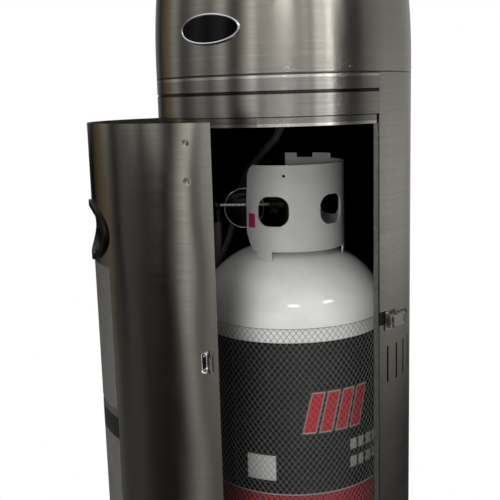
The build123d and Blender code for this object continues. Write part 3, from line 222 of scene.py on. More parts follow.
def brushed_steel(name, colour, roughness, centre=(0.0, 0.0), streak=0.5, dark_inside=True,
                  inner_shade="#0f0f0e", inner_metal=1.0, painted_shading=None, waves=0.0, dents=()):
    """Sheet steel brushed round an upright axis, with its inner face darkened as painted shade.

    The painted shading is a list of heights in millimetres, each with how much of the colour
    is left there: painted shade in grooves and seams, and painted highlights on rolled edges.
    Waves are how far the sheet buckles, and dents are the places where a spot weld has pressed
    it in, both in metres.
    """
    material, tree, shader, place = new_material(name)
    moved = vector(tree, "SUBTRACT", place, (centre[0] * MM, centre[1] * MM, 0)).outputs[0]
    flat = vector(tree, "MULTIPLY", moved, (1, 1, 0)).outputs[0]
    radius = vector(tree, "LENGTH", flat).outputs["Value"]
    split = add(tree, "ShaderNodeSeparateXYZ", {0: moved})
    across = math(tree, "SUBTRACT", split.outputs[2], radius)
    circle = vector(tree, "CROSS_PRODUCT", (0, 0, 1), flat).outputs[0]
    normal = add(tree, "ShaderNodeNewGeometry").outputs["Normal"]
    tangent = vector(tree, "CROSS_PRODUCT", circle, normal).outputs[0]
    wire(tree, shader, Tangent=tangent)
    fields = []
    for along, over, detail in SCRATCHES:
        stretched = add(tree, "ShaderNodeCombineXYZ", {
            0: math(tree, "MULTIPLY", split.outputs[0], along),
            1: math(tree, "MULTIPLY", split.outputs[1], along),
            2: math(tree, "MULTIPLY", across, over)}).outputs[0]
        fields.append(noise(tree, stretched, 1.0, detail))
    lines = math(tree, "MULTIPLY_ADD", fields[0], 0.6, math(tree, "MULTIPLY", fields[1], 0.4))
    smudge = noise(tree, place, 14.0, 4.0, 0.6)
    streaks = math(tree, "MULTIPLY", lines, streak)
    base = blend_colours(tree, streaks, tint(colour), tint(STEEL_GRIME))
    # Painted light by height: grey levels that multiply the colour, for painted shade and painted
    # highlights.
    if painted_shading:
        low, high = painted_shading[0][0] * MM, painted_shading[-1][0] * MM
        rise = add(tree, "ShaderNodeMapRange", {0: split.outputs[2], 1: low, 2: high}).outputs[0]
        stops = [((at * MM - low) / (high - low), grey(level)) for at, level in painted_shading]
        base = blend_colours(tree, 1.0, base, ramp(tree, rise, stops), "MULTIPLY")
    # Faces turned towards the axis take the inner colour, dark and matt: painted shade inside the
    # housing and behind the door.
    inward = vector(tree, "DOT_PRODUCT", normal, flat).outputs["Value"]
    inside = math(tree, "LESS_THAN", inward, 0.0) if dark_inside else 0.0
    wire(tree, shader, Base_Color=blend_colours(tree, inside, base, tint(inner_shade)))
    rough = math(tree, "MULTIPLY_ADD", lines, 0.16, roughness - 0.08)
    rough = math(tree, "MULTIPLY_ADD", smudge, 0.08, rough)
    wire(tree, shader, Roughness=math(tree, "MAXIMUM", rough, math(tree, "MULTIPLY", inside, 0.6)))
    wire(tree, shader, Metallic=math(tree, "MULTIPLY_ADD", inside, inner_metal - 1.0, 1.0))
    fill(shader, Anisotropic=0.9)
    relief = math(tree, "MULTIPLY", lines, SCRATCH_DEPTH)
    if waves:
        buckle = noise(tree, vector(tree, "MULTIPLY", place, (1, 1, 0.35)).outputs[0], 11.0, 1.0)
        relief = math(tree, "MULTIPLY_ADD", buckle, waves, relief)
    for dent in dents:
        reach = vector(tree, "DISTANCE", place, dent).outputs["Value"]
        pit = add(tree, "ShaderNodeMapRange", {0: reach, 2: WELD_RADIUS, 3: -WELD_DEPTH, 4: 0.0},
                  interpolation_type="SMOOTHSTEP").outputs[0]
        relief = math(tree, "ADD", relief, pit)
    bump(tree, shader, relief, 1.0, 1.0)
    return material


# %% Steel on the housing, the dome, the header, the door and the post
# The header's groove and step lie this far under its top edge. Painted shade darkens both.
GROOVE_DROP = 25.0
STEP_DROP = 60.0
dome_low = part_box("dome_cover")[0][2] / MM
lip_low, header_top = [corner[2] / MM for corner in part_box("header_band")]
groove, step = header_top - GROOVE_DROP, header_top - STEP_DROP
# Painted shade: a dark line along the dome's lower edge, where it overlaps the header.
DOME_PAINTED_SHADE = [(dome_low, 0.15), (dome_low + 1.0, 0.2), (dome_low + 1.6, 0.9),
               (dome_low + 30.0, 0.9)]
# Painted light on the header: its bright colour is mostly halved, with painted highlights on the
# lip and under the top edge, and painted shade in the step, the groove and under the dome.
HEADER_PAINTED_LIGHT = [
    (lip_low, 1.0), (lip_low + 3.6, 1.0), (lip_low + 5.0, 0.5),
    (step - 0.9, 0.5), (step - 0.5, 0.12), (step + 0.5, 0.12), (step + 0.9, 0.55),
    (groove - 3.2, 0.55), (groove - 2.4, 0.10), (groove + 2.0, 0.10), (groove + 2.8, 0.55),
    (header_top - 6.0, 0.55), (header_top - 4.0, 1.0), (header_top - 1.5, 1.0),
    (header_top - 0.8, 0.1), (header_top, 0.1)]
WELD_ANGLE = 32.5 - DOOR_OPEN
WELD_HEIGHTS = (863.0, 813.5)
weld_plan = around(WELD_ANGLE, BODY_RADIUS, DOOR_CENTRE)
DOOR_WELDS = [Vector((*weld_plan, height)) * MM for height in WELD_HEIGHTS]
housing_steel = brushed_steel("brushed_stainless_housing", "#b9b4aa", 0.17)
dome_steel = brushed_steel("brushed_stainless_dome", "#c4bfb5", 0.16, painted_shading=DOME_PAINTED_SHADE)
header_steel = brushed_steel("brushed_stainless_header", "#f4f0e8", 0.14, painted_shading=HEADER_PAINTED_LIGHT)
door_steel = brushed_steel("brushed_stainless_door", "#b4b0a6", 0.11, DOOR_CENTRE, inner_shade="#5f5b56",
                           inner_metal=0.5, waves=0.0035, dents=DOOR_WELDS)
post_steel = brushed_steel("brushed_stainless_post", "#bcb8b0", 0.26, dark_inside=False)
dress(housing_steel, "body_shell")
dress(dome_steel, "dome_cover")
dress(header_steel, "header_band")
dress(door_steel, "door_panel")
dress(post_steel, "post", "post_trim_ring", "control_housing", "emitter_cap")


# %% [markdown]
# ## Plated, galvanised and cast metals
#
# The frame parts behind the skin are galvanised: zinc crystals give a patchy grey. The latch,
# the hinges and the screws are zinc plated, which is brighter and smoother. Chrome is the
# smoothest. All are metals, so they differ mainly in roughness and in how even it is.

# %% Other metals
FINEST_RELIEF = 0.000008


def metal(name, colour, roughness, grain=0.0, grain_size=0.004, dark="#000000", shade=0.0,
          pits=0.0):
    """A metal with a patchy shade, an uneven roughness and a little relief."""
    material, tree, shader, place = new_material(name)
    crystals = add(tree, "ShaderNodeTexVoronoi", {"Vector": place, "Scale": 1 / grain_size})
    patch = add(tree, "ShaderNodeSeparateColor", {0: crystals.outputs["Color"]}).outputs[0]
    cloud = noise(tree, place, 60.0, 4.0)
    mixed = math(tree, "MULTIPLY_ADD", patch, 0.5, math(tree, "MULTIPLY", cloud, 0.5))
    factor = math(tree, "MULTIPLY", mixed, shade)
    wire(tree, shader, Base_Color=blend_colours(tree, factor, tint(colour), tint(dark)))
    uneven = math(tree, "MULTIPLY_ADD", patch, grain, roughness - grain / 2)
    wire(tree, shader, Roughness=math(tree, "MULTIPLY_ADD", cloud, 0.08, uneven))
    fill(shader, Metallic=1.0)
    bump(tree, shader, noise(tree, place, 900.0, 3.0), pits + FINEST_RELIEF, 0.6)
    return material


galvanised = metal("galvanised_sheet", "#a5a6a4", 0.42, 0.16, 0.006, "#70716f", 0.6)
zinc_plate = metal("zinc_plated_steel", "#c4c3be", 0.24, 0.05, 0.002, "#8b8a85", 0.35)
chrome = metal("chrome_plate", "#d9d9da", 0.08, 0.02, 0.003, "#9b9b9d", 0.15)
dark_chrome = metal("dull_nickel_plate", "#57504a", 0.16, 0.04, 0.002, "#1d1916", 0.6)
# The brass is coloured dark as painted shade for the valves and the pipe inside the housing.
brass = metal("machined_brass_painted_shade", "#6b5733", 0.42, 0.06, 0.002, "#33291a", 0.5)
zinc_casting = metal("zinc_die_casting", "#a3a29e", 0.42, 0.10, 0.001, "#6f6e6b", 0.4, 0.00002)
cast_iron = metal("cast_iron_weight", "#5a5754", 0.62, 0.12, 0.002, "#2c2a28", 0.7, 0.0002)
# Dark steel for the hose fitting and the coupling: painted shade where they sit inside the housing.
black_steel = metal("darkened_steel_painted_shade", "#262625", 0.42, 0.08, 0.002, "#101010", 0.5)
heat_steel = metal("heat_tinted_steel", "#9a8c7a", 0.38, 0.10, 0.003, "#6a4f3c", 0.7)
spun_aluminium = brushed_steel("spun_aluminium", "#d4d4d2", 0.34, streak=0.35, dark_inside=False)
dress(galvanised, "foot_ring", "bottle_tray", "latch_jamb", "top_ring", "post_base", "door_frame")
dress(zinc_plate, "hinge_door_leaves", "hinge_body_leaves", "hinge_pins", "latch_base",
      "latch_rivets", "latch_lever", "latch_pin", "dome_rivets", "reflector_studs", "wing_nuts",
      "wheel_axle")
dress(chrome, "keeper_rivets")
dress(dark_chrome, "latch_bail")
dress(brass, "bottle_valve", "gas_pipe", "gas_valve")
dress(zinc_casting, "regulator")
dress(cast_iron, "ballast_weight")
dress(black_steel, "hose_fitting", "pipe_coupling")
dress(heat_steel, "burner_head", "pilot_assembly")
dress(spun_aluminium, "reflector")


# %% [markdown]
# ## The door's keeper
#
# The keeper is a chromed bracket with a slot pressed into its left half and a hook on its
# right. Its colour paints the pressing's light and shade: a painted highlight on the rim,
# painted shade in the slot and in the fold under the hook.

# %% Keeper finish
# In millimetres: how far the slot lies left of the middle, half of its straight part, the width
# over which its rim fades, and the width of the hook.
KEEPER_ANGLE, KEEPER_HEIGHT = 37.6 - DOOR_OPEN, 570.0
SLOT_LEFT = 4.3
SLOT_STRAIGHT = 10.5
SLOT_FADE = 7.0
HOOK_WIDTH = 8.5
# Painted light: shade inside the slot, a highlight on its rim and a dark line outside it.
SLOT_PAINTED_LIGHT = [(0.0, tint("#2c2420")), (0.36, tint("#2c2420")), (0.42, tint("#fbfbfb")),
                (0.54, tint("#e8e6e2")), (0.58, tint("#3d3733")), (0.64, tint("#8f8b86"))]
# Painted light: shade in the fold under the hook and a highlight on its edge.
HOOK_PAINTED_LIGHT = [(0.0, tint("#6f6a65")), (0.3, tint("#4a433e")), (0.42, tint("#191513")),
                (0.55, tint("#b9b5b0")), (0.9, tint("#8f8b86"))]


def keeper_finish(angle, height):
    """Chrome with painted shade in the slot and the fold and a painted highlight on the rim, placed
    across and up the door.
    """
    material, tree, shader, place = new_material("chrome_bracket_painted_light")
    middle = Vector((*around(angle, BODY_RADIUS, DOOR_CENTRE), height)) * MM
    offset = vector(tree, "SUBTRACT", place, middle).outputs[0]
    sideways = (cos(radians(angle)) / MM, sin(radians(angle)) / MM, 0)
    across = vector(tree, "DOT_PRODUCT", offset, sideways).outputs["Value"]
    up = vector(tree, "DOT_PRODUCT", offset, (0, 0, 1 / MM)).outputs["Value"]
    beyond = math(tree, "SUBTRACT", math(tree, "ABSOLUTE", up), SLOT_STRAIGHT)
    from_slot = add(tree, "ShaderNodeCombineXYZ", {0: math(tree, "ADD", across, SLOT_LEFT),
                                                   1: math(tree, "MAXIMUM", beyond, 0.0)})
    reach = vector(tree, "LENGTH", from_slot.outputs[0]).outputs["Value"]
    pressed = ramp(tree, math(tree, "MULTIPLY", reach, 1 / SLOT_FADE), SLOT_PAINTED_LIGHT)
    fold = ramp(tree, math(tree, "MULTIPLY", across, 1 / HOOK_WIDTH), HOOK_PAINTED_LIGHT)
    colour = blend_colours(tree, math(tree, "GREATER_THAN", across, 0.0), pressed, fold)
    wire(tree, shader, Base_Color=colour)
    rough = math(tree, "MULTIPLY_ADD", noise(tree, place, 300.0), 0.12, 0.14)
    wire(tree, shader, Roughness=rough)
    fill(shader, Metallic=0.75)
    bump(tree, shader, reach, 0.0008, 0.8)
    return material


dress(keeper_finish(KEEPER_ANGLE, KEEPER_HEIGHT), "door_keeper")


# %% [markdown]
# ## Paint, plastic and rubber
#
# These are not metals, so the colour comes from the base and the gloss lies on top. Enamel on
# a gas bottle is sprayed thick, which leaves a faint orange-peel ripple about 2 mm across.
# Moulded plastic has a fine sparked grain, and rubber is nearly without gloss. The small
# sticker on the bottle's collar is a plain field of colour in the enamel.

# %% Paint, plastic and rubber
def round_bottle(tree, place):
    """The angle round the bottle in degrees and the height in millimetres, as shader values."""
    moved = vector(tree, "SUBTRACT", place, (BOTTLE_CENTRE[0] * MM, 0, 0)).outputs[0]
    split = add(tree, "ShaderNodeSeparateXYZ", {0: moved})
    angle = math(tree, "ARCTAN2", split.outputs[0], math(tree, "MULTIPLY", split.outputs[1], -1.0))
    return math(tree, "MULTIPLY", angle, 180 / pi), math(tree, "MULTIPLY", split.outputs[2], 1 / MM)


def band(tree, value, low, high, soft=0.4):
    """1 where a value lies between two limits, with a soft edge."""
    rise = add(tree, "ShaderNodeMapRange", {0: value, 1: low - soft, 2: low + soft}).outputs[0]
    fall = add(tree, "ShaderNodeMapRange", {0: value, 1: high - soft, 2: high + soft}).outputs[0]
    return math(tree, "SUBTRACT", rise, fall)


def coated(name, colour, roughness, ripple_size, ripple_depth, worn="#000000", wear=0.0,
           gloss=0.5, sticker=None):
    """A non-metal with a rippled or grained skin and faint uneven soiling."""
    material, tree, shader, place = new_material(name)
    cloud = noise(tree, place, 18.0, 5.0, 0.6)
    soil = ramp(tree, cloud, [(0.45, grey(0.0)), (0.75, grey(1.0))])
    soil = add(tree, "ShaderNodeSeparateColor", {0: soil}).outputs[0]
    factor = math(tree, "MULTIPLY", soil, wear)
    skin = blend_colours(tree, factor, tint(colour), tint(worn))
    if sticker:
        angles, heights, ink = sticker
        angle, height = round_bottle(tree, place)
        mask = math(tree, "MULTIPLY", band(tree, angle, *angles, STICKER_EDGE),
                    band(tree, height, *heights, STICKER_EDGE))
        skin = blend_colours(tree, mask, skin, tint(ink))
    wire(tree, shader, Base_Color=skin)
    wire(tree, shader, Roughness=math(tree, "MULTIPLY_ADD", cloud, 0.10, roughness - 0.05))
    fill(shader, Specular_IOR_Level=gloss)
    bump(tree, shader, noise(tree, place, 1 / ripple_size, 2.0), ripple_depth, 0.6)
    return material


STICKER = ((-47.5, -38.5), (712.0, 735.0), "#9a1f4e")
STICKER_EDGE = 0.2
enamel = coated("sprayed_white_enamel", "#e0e0dd", 0.09, 0.0025, 0.00006, "#c9c8c2", 0.5)
black_coat = coated("black_powder_coat", "#1c1c1c", 0.45, 0.0008, 0.00006, "#2b2a29", 0.5)
black_abs = coated("moulded_black_abs", "#050505", 0.25, 0.0006, 0.00002, "#0d0d0d", 0.5, 0.3)
gloss_black = coated("gloss_black_lacquer", "#060607", 0.12, 0.004, 0.00001, "#0b0b0c", 0.4, 0.2)
rubber = coated("black_rubber_painted_shadow", "#141413", 0.70, 0.0008, 0.00004, "#232221", 0.6, 0.3)
# The collar is the bottle's white enamel, coloured grey as painted shade where it sits deep in the
# housing.
collar_enamel_shaded = coated("sprayed_white_enamel_collar_painted_shade", "#b4b4b1", 0.30, 0.0025, 0.00006,
                       "#aaa9a4", 0.6, sticker=STICKER)
black_handle = coated("moulded_black_handle", "#030303", 0.32, 0.0006, 0.00002,
                      "#070707", 0.5, 0.15)
dress(enamel, "bottle_shell", "bottle_foot")
dress(collar_enamel_shaded, "bottle_collar")
dress(black_coat, "base_plate", "wheel_bracket")
dress(black_handle, "door_handle")
dress(black_abs, "valve_handwheel", "coupling_nut", "control_knob", "igniter_body",
      "igniter_button", "tilt_switch")
dress(gloss_black, "badge_plate")
# The black block by the latch stands where the latch casts its shadow on the jamb: a painted
# shadow.
dress(rubber, "latch_bumper")


# %% [markdown]
# ## Wheels
#
# A tyre and its hub are one solid here. The finish changes with the distance from the axle:
# grey moulded hub inside, black tread outside, and a shallow groove where the two meet.

# %% Wheel finish
AXLE_Y, AXLE_Z, HUB_RADIUS = 0.262, 0.052, 0.034
WHEEL_GROOVE = 0.0012


def wheel_finish(name, axle_y, axle_z, hub_radius):
    """Rubber tread outside a moulded hub, split by the distance from the axle."""
    material, tree, shader, place = new_material(name)
    moved = vector(tree, "SUBTRACT", place, (0, axle_y, axle_z)).outputs[0]
    flat = vector(tree, "MULTIPLY", moved, (0, 1, 1)).outputs[0]
    reach = vector(tree, "LENGTH", flat).outputs["Value"]
    edge = math(tree, "GREATER_THAN", reach, hub_radius)
    wire(tree, shader, Base_Color=blend_colours(tree, edge, tint("#6b6b69"), tint("#161616")))
    wire(tree, shader, Roughness=math(tree, "MULTIPLY_ADD", edge, 0.35, 0.38))
    groove = math(tree, "ABSOLUTE", math(tree, "SUBTRACT", reach, hub_radius))
    groove = math(tree, "MINIMUM", groove, WHEEL_GROOVE)
    grain = math(tree, "MULTIPLY_ADD", noise(tree, place, 900.0), 0.00006, groove)
    bump(tree, shader, grain, 1.0, 0.8)
    return material


dress(wheel_finish("wheel_tyre_and_hub", AXLE_Y, AXLE_Z, HUB_RADIUS), "wheel_left", "wheel_right")


# %% [markdown]
# ## Foil labels on the door
#
# Two silver foil labels are stuck to the door. They are plain foil, and the lower one has a
# dark band across its top. Foil is a metal with a fine film of dust, so it is duller than the
# steel round it.

# %% Foil labels
LABEL_BAND = (430.0, 463.0)


def foil_finish(name, band_low, band_high):
    """Silver foil with one plain dark band, both a little uneven."""
    material, tree, shader, place = new_material(name)
    height = add(tree, "ShaderNodeSeparateXYZ", {0: place}).outputs[2]
    above = math(tree, "GREATER_THAN", height, band_low * MM)
    below = math(tree, "LESS_THAN", height, band_high * MM)
    stripe = math(tree, "MULTIPLY", above, below)
    cloud = noise(tree, place, 40.0, 4.0)
    silver = blend_colours(tree, cloud, tint("#a3a29f"), tint("#8d8c89"))
    wire(tree, shader, Base_Color=blend_colours(tree, stripe, silver, tint("#141414")))
    wire(tree, shader, Metallic=math(tree, "MULTIPLY_ADD", stripe, -0.7, 0.7))
    wire(tree, shader, Roughness=math(tree, "MULTIPLY_ADD", cloud, 0.1, 0.38))
    bump(tree, shader, noise(tree, place, 250.0), 0.00003, 0.5)
    return material


dress(foil_finish("silver_foil_label", *LABEL_BAND), "door_labels")


# %% [markdown]
# ## The bottle's printed sleeve
#
# The bottle wears a printed plastic sleeve with a plain design: black film, four slanted red
# bars with a pale edge, two rows of short pale bars, one blank white patch, a yellow mark, a
# welded seam and a red foot. Each shape is a test on the angle round the bottle and the
# height, so the design bends with the film and needs no picture.

# %% Printed sleeve
BAR_ANGLES = ((8.0, 15.0), (18.0, 25.0), (28.0, 35.0), (38.0, 45.0))
BAR_HEIGHTS = (396.5, 459.5)
BAR_SLANT = 0.09
BAR_EDGE_ANGLE, BAR_EDGE_HEIGHT = 0.7, 2.5
SHORT_ANGLES = ((35.0, 40.0), (41.5, 46.0), (48.0, 53.5), (55.0, 61.0))
SHORT_ROWS = ((356.0, 374.0), (326.0, 344.0))
PATCH = ((-29.5, -11.5), (315.0, 357.0))
YELLOW_MARK = ((-54.0, -51.0), (474.0, 523.0))
FOOT, FOOT_LINE = (120.0, 290.0), (291.0, 293.0)
SEAM = (-38.3, -37.7)


def sleeve_finish(name):
    """A glossy printed film: plain fields of colour placed by angle and height."""
    material, tree, shader, place = new_material(name)
    angle, height = round_bottle(tree, place)

    def paint(under, mask, colour):
        """A printed field over what is under it."""
        return blend_colours(tree, mask, under, tint(colour))

    def field(angles, heights, slope=0.0):
        """A field between two angles and two heights, slanted by some degrees a millimetre."""
        above = math(tree, "SUBTRACT", height, sum(heights) / 2)
        slanted = math(tree, "MULTIPLY_ADD", above, -slope, angle)
        return math(tree, "MULTIPLY", band(tree, slanted, *angles), band(tree, height, *heights))

    fine = noise(tree, place, 120.0, 3.0)
    colour = blend_colours(tree, fine, tint("#0b0b0c"), tint("#161617"))
    for left, right in BAR_ANGLES:
        outline = field((left - BAR_EDGE_ANGLE, right + BAR_EDGE_ANGLE),
                        (BAR_HEIGHTS[0] - BAR_EDGE_HEIGHT, BAR_HEIGHTS[1] + BAR_EDGE_HEIGHT),
                        BAR_SLANT)
        colour = paint(colour, outline, "#8f8e8b")
        colour = paint(colour, field((left, right), BAR_HEIGHTS, BAR_SLANT), "#a81f26")
    for heights in SHORT_ROWS:
        for angles in SHORT_ANGLES:
            colour = paint(colour, field(angles, heights), "#a09f9b")
    colour = paint(colour, field(*PATCH), "#b9b8b5")
    colour = paint(colour, band(tree, height, *FOOT), "#8c1c24")
    colour = paint(colour, band(tree, height, *FOOT_LINE), "#a09f9b")
    colour = paint(colour, field(*YELLOW_MARK), "#77752f")
    seam = math(tree, "MULTIPLY", band(tree, angle, *SEAM, 0.1), 0.6)
    colour = paint(colour, seam, "#5a5a5b")
    wire(tree, shader, Base_Color=colour)
    wire(tree, shader, Roughness=math(tree, "MULTIPLY_ADD", fine, 0.10, 0.12))
    wrinkle = noise(tree, vector(tree, "MULTIPLY", place, (1, 1, 0.3)).outputs[0], 22.0, 2.0)
    crinkle = noise(tree, vector(tree, "MULTIPLY", place, (1, 1, 2.4)).outputs[0], 95.0, 3.0, 0.6)
    bump(tree, shader, math(tree, "MULTIPLY_ADD", crinkle, 1.6, wrinkle), 0.0030, 1.0)
    return material


dress(sleeve_finish("printed_film_sleeve"), "bottle_sleeve")


# %% [markdown]
# ## The plastic net over the sleeve
#
# A tube of thin plastic net is drawn over the bottle. It is two families of strands that
# wind opposite ways and cross in diamonds about 10 mm wide. One strand is a Curve Spiral, the
# tree turns copies of it round the axis, and a mirrored spiral gives the other family.

# %% Net plastic
net_plastic = coated("extruded_net_plastic", "#747472", 0.18, 0.002, 0.00002, "#7a7a75", 0.5)


# %% Helpers that run a tree and keep its result
def node_group(name, sizes):
    """An empty Geometry Nodes tree with named inputs, and its two end nodes."""
    tree = bpy.data.node_groups.new(name, "GeometryNodeTree")
    tree.interface.new_socket("Geometry", in_out="OUTPUT", socket_type="NodeSocketGeometry")
    for label, kind, value in sizes:
        socket = tree.interface.new_socket(label, in_out="INPUT", socket_type=kind)
        if value is not None:
            socket.default_value = value
    return tree, add(tree, "NodeGroupInput").outputs, add(tree, "NodeGroupOutput")


def grow(name, tree, values, body, *replaced, slot=None):
    """Runs a tree on an empty object and keeps its result as a plain mesh that rides on a body."""
    carrier = in_scene(name + "_tree", bpy.data.meshes.new(name + "_tree"))
    modifier = carrier.modifiers.new("tree", "NODES")
    modifier.node_group = tree
    for item in tree.interface.items_tree:
        if item.in_out == "INPUT" and item.name in values:
            modifier[item.identifier] = values[item.name]
    bpy.context.view_layer.update()
    evaluated = carrier.evaluated_get(bpy.context.evaluated_depsgraph_get())
    mesh = bpy.data.meshes.new_from_object(evaluated)
    carrier.modifiers.remove(modifier)
    bpy.data.objects.remove(carrier)
    settle(in_scene(name, mesh), body, *replaced, slot=slot)


def settle(piece, body, *replaced, slot=None):
    """Puts a finished piece on its body in place of the solids it stands for."""
    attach(piece, body)
    if replaced:
        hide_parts(*replaced)
    print(piece.name, "with", len(piece.data.polygons), "faces on", body)


# %% Net by Geometry Nodes
def net_tree():
    """Two families of spiral strands round an upright axis, and a hem ring at each end."""
    tree, inputs, output = node_group("plastic_net", [
        ("Radius", "NodeSocketFloat", 0.1), ("Height", "NodeSocketFloat", 0.4),
        ("Turns", "NodeSocketFloat", 0.3), ("Strands", "NodeSocketInt", 100),
        ("Thickness", "NodeSocketFloat", 0.0005), ("Centre", "NodeSocketVector", None),
        ("Plastic", "NodeSocketMaterial", None)])
    strands = add(tree, "GeometryNodeJoinGeometry")
    for backwards in (False, True):
        spiral = add(tree, "GeometryNodeCurveSpiral", {
            "Resolution": 48, "Rotations": inputs["Turns"], "Start Radius": inputs["Radius"],
            "End Radius": inputs["Radius"], "Height": inputs["Height"], "Reverse": backwards})
        points = add(tree, "GeometryNodePoints", {"Count": inputs["Strands"]})
        step = math(tree, "DIVIDE", 2 * pi, inputs["Strands"])
        index = add(tree, "GeometryNodeInputIndex").outputs[0]
        about = add(tree, "ShaderNodeCombineXYZ", {2: math(tree, "MULTIPLY", index, step)})
        copies = add(tree, "GeometryNodeInstanceOnPoints", {
            "Points": points.outputs[0], "Instance": spiral.outputs[0],
            "Rotation": about.outputs[0]})
        tree.links.new(copies.outputs[0], strands.inputs[0])
    hem = add(tree, "GeometryNodeCurvePrimitiveCircle", {"Resolution": 96,
                                                         "Radius": inputs["Radius"]})
    top = add(tree, "ShaderNodeCombineXYZ", {2: inputs["Height"]})
    raised = add(tree, "GeometryNodeTransform", {"Geometry": hem.outputs[0],
                                                 "Translation": top.outputs[0]})
    tree.links.new(hem.outputs[0], strands.inputs[0])
    tree.links.new(raised.outputs[0], strands.inputs[0])
    real = add(tree, "GeometryNodeRealizeInstances", {"Geometry": strands.outputs[0]})
    profile = add(tree, "GeometryNodeCurvePrimitiveCircle", {"Resolution": 4,
                                                             "Radius": inputs["Thickness"]})
    solid = add(tree, "GeometryNodeCurveToMesh", {
        "Curve": real.outputs[0], "Profile Curve": profile.outputs[0], "Fill Caps": True})
    placed = add(tree, "GeometryNodeTransform", {"Geometry": solid.outputs[0],
                                                 "Translation": inputs["Centre"]})
    flat = add(tree, "GeometryNodeRealizeInstances", {"Geometry": placed.outputs[0]})
    finish = add(tree, "GeometryNodeSetMaterial", {"Geometry": flat.outputs[0],
                                                   "Material": inputs["Plastic"]})
    tree.links.new(finish.outputs[0], output.inputs[0])
    return tree


NET_RADIUS, NET_LOW, NET_HEIGHT = 155.9, 124.5, 441.0
NET_TURNS, NET_STRANDS, STRAND_RADIUS = 0.36, 100, 0.36
grow("bottle_net_strands", net_tree(), {
    "Radius": NET_RADIUS * MM, "Height": NET_HEIGHT * MM, "Turns": NET_TURNS,
    "Strands": NET_STRANDS, "Thickness": STRAND_RADIUS * MM,
    "Centre": (BOTTLE_CENTRE[0] * MM, 0.0, NET_LOW * MM),
    "Plastic": net_plastic}, "bottle", "bottle_net", slot="net_plastic")


# %% [markdown]
# ## The perforated emitter screen
#
# Heat leaves the burner through a tube of perforated steel. A flat sheet of triangles turns
# into a sheet of hexagons with the Dual Mesh node. Each hexagon is then shrunk and opened,
# and the sheet is rolled into a tube. Real holes are about 3 mm. They are drawn 6 mm apart.

# %% Emitter screen by Geometry Nodes
FLAT_RADIUS = 0.1


def screen_tree():
    """A sheet of open hexagons, laid flat at one radius and rolled up at its own."""
    tree, inputs, output = node_group("perforated_screen", [
        ("Radius", "NodeSocketFloat", 0.1), ("Height", "NodeSocketFloat", 0.2),
        ("Columns", "NodeSocketInt", 100), ("Rows", "NodeSocketInt", 38),
        ("Bottom", "NodeSocketFloat", 0.0), ("Steel", "NodeSocketMaterial", None)])

    around_points = math(tree, "ADD", inputs["Columns"], 2.0)
    grid = add(tree, "GeometryNodeMeshGrid", {
        "Size X": 1.0, "Size Y": 1.0, "Vertices X": around_points, "Vertices Y": inputs["Rows"]})
    index = add(tree, "GeometryNodeInputIndex").outputs[0]
    row = math(tree, "MODULO", index, inputs["Rows"])
    column = math(tree, "FLOOR", math(tree, "DIVIDE", index, inputs["Rows"]))
    stagger = math(tree, "MULTIPLY", math(tree, "MODULO", row, 2.0), 0.5)
    across = math(tree, "DIVIDE", math(tree, "ADD", column, stagger), inputs["Columns"])
    up = math(tree, "DIVIDE", row, math(tree, "SUBTRACT", inputs["Rows"], 1.0))
    spread = add(tree, "ShaderNodeCombineXYZ", {
        0: math(tree, "MULTIPLY", across, 2 * pi * FLAT_RADIUS),
        1: math(tree, "MULTIPLY", up, inputs["Height"])})
    flat = add(tree, "GeometryNodeSetPosition", {"Geometry": grid.outputs[0],
                                                 "Position": spread.outputs[0]})
    triangles = add(tree, "GeometryNodeTriangulate", {0: flat.outputs[0]},
                    quad_method="SHORTEST_DIAGONAL")
    cells = add(tree, "GeometryNodeDualMesh", {0: triangles.outputs[0]})
    inset = add(tree, "GeometryNodeExtrudeMesh", {"Mesh": cells.outputs[0], "Offset Scale": 0.0,
                                                  "Individual": True}, mode="FACES")
    shrunk = add(tree, "GeometryNodeScaleElements", {
        "Geometry": inset.outputs[0], "Selection": inset.outputs["Top"], "Scale": 0.66})
    opened = add(tree, "GeometryNodeDeleteGeometry", {
        "Geometry": shrunk.outputs[0], "Selection": inset.outputs["Top"]}, domain="FACE")
    position = add(tree, "GeometryNodeInputPosition").outputs[0]
    place = add(tree, "ShaderNodeSeparateXYZ", {0: position})
    angle = math(tree, "MULTIPLY", place.outputs[0], 1 / FLAT_RADIUS)
    rolled = add(tree, "ShaderNodeCombineXYZ", {
        0: math(tree, "MULTIPLY", math(tree, "COSINE", angle), inputs["Radius"]),
        1: math(tree, "MULTIPLY", math(tree, "SINE", angle), inputs["Radius"]),
        2: math(tree, "ADD", place.outputs[1], inputs["Bottom"])})
    tube = add(tree, "GeometryNodeSetPosition", {"Geometry": opened.outputs[0],
                                                 "Position": rolled.outputs[0]})
    merged = add(tree, "GeometryNodeMergeByDistance", {"Geometry": tube.outputs[0],
                                                       "Distance": 0.0001})
    real = add(tree, "GeometryNodeRealizeInstances", {"Geometry": merged.outputs[0]})
    finish = add(tree, "GeometryNodeSetMaterial", {"Geometry": real.outputs[0],
                                                   "Material": inputs["Steel"]})
    tree.links.new(finish.outputs[0], output.inputs[0])
    return tree


SCREEN_RADIUS, SCREEN_COLUMNS, SCREEN_ROWS = 99.8, 104, 40
screen_low, screen_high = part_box("emitter_screen")
grow("emitter_screen_mesh", screen_tree(), {
    "Radius": SCREEN_RADIUS * MM, "Height": screen_high[2] - screen_low[2],
    "Columns": SCREEN_COLUMNS, "Rows": SCREEN_ROWS, "Bottom": screen_low[2],
    "Steel": heat_steel}, "housing", "emitter_screen", slot="heat_steel")


# %% [markdown]
# ## The badge's chrome rim
#
# An oval chrome rim is bent to the dome. Its section is half round, which a flat extrusion
# can't give, so the rim is a ring of points: each one steps round the oval and round the
# section, and lies on the dome's own curve.

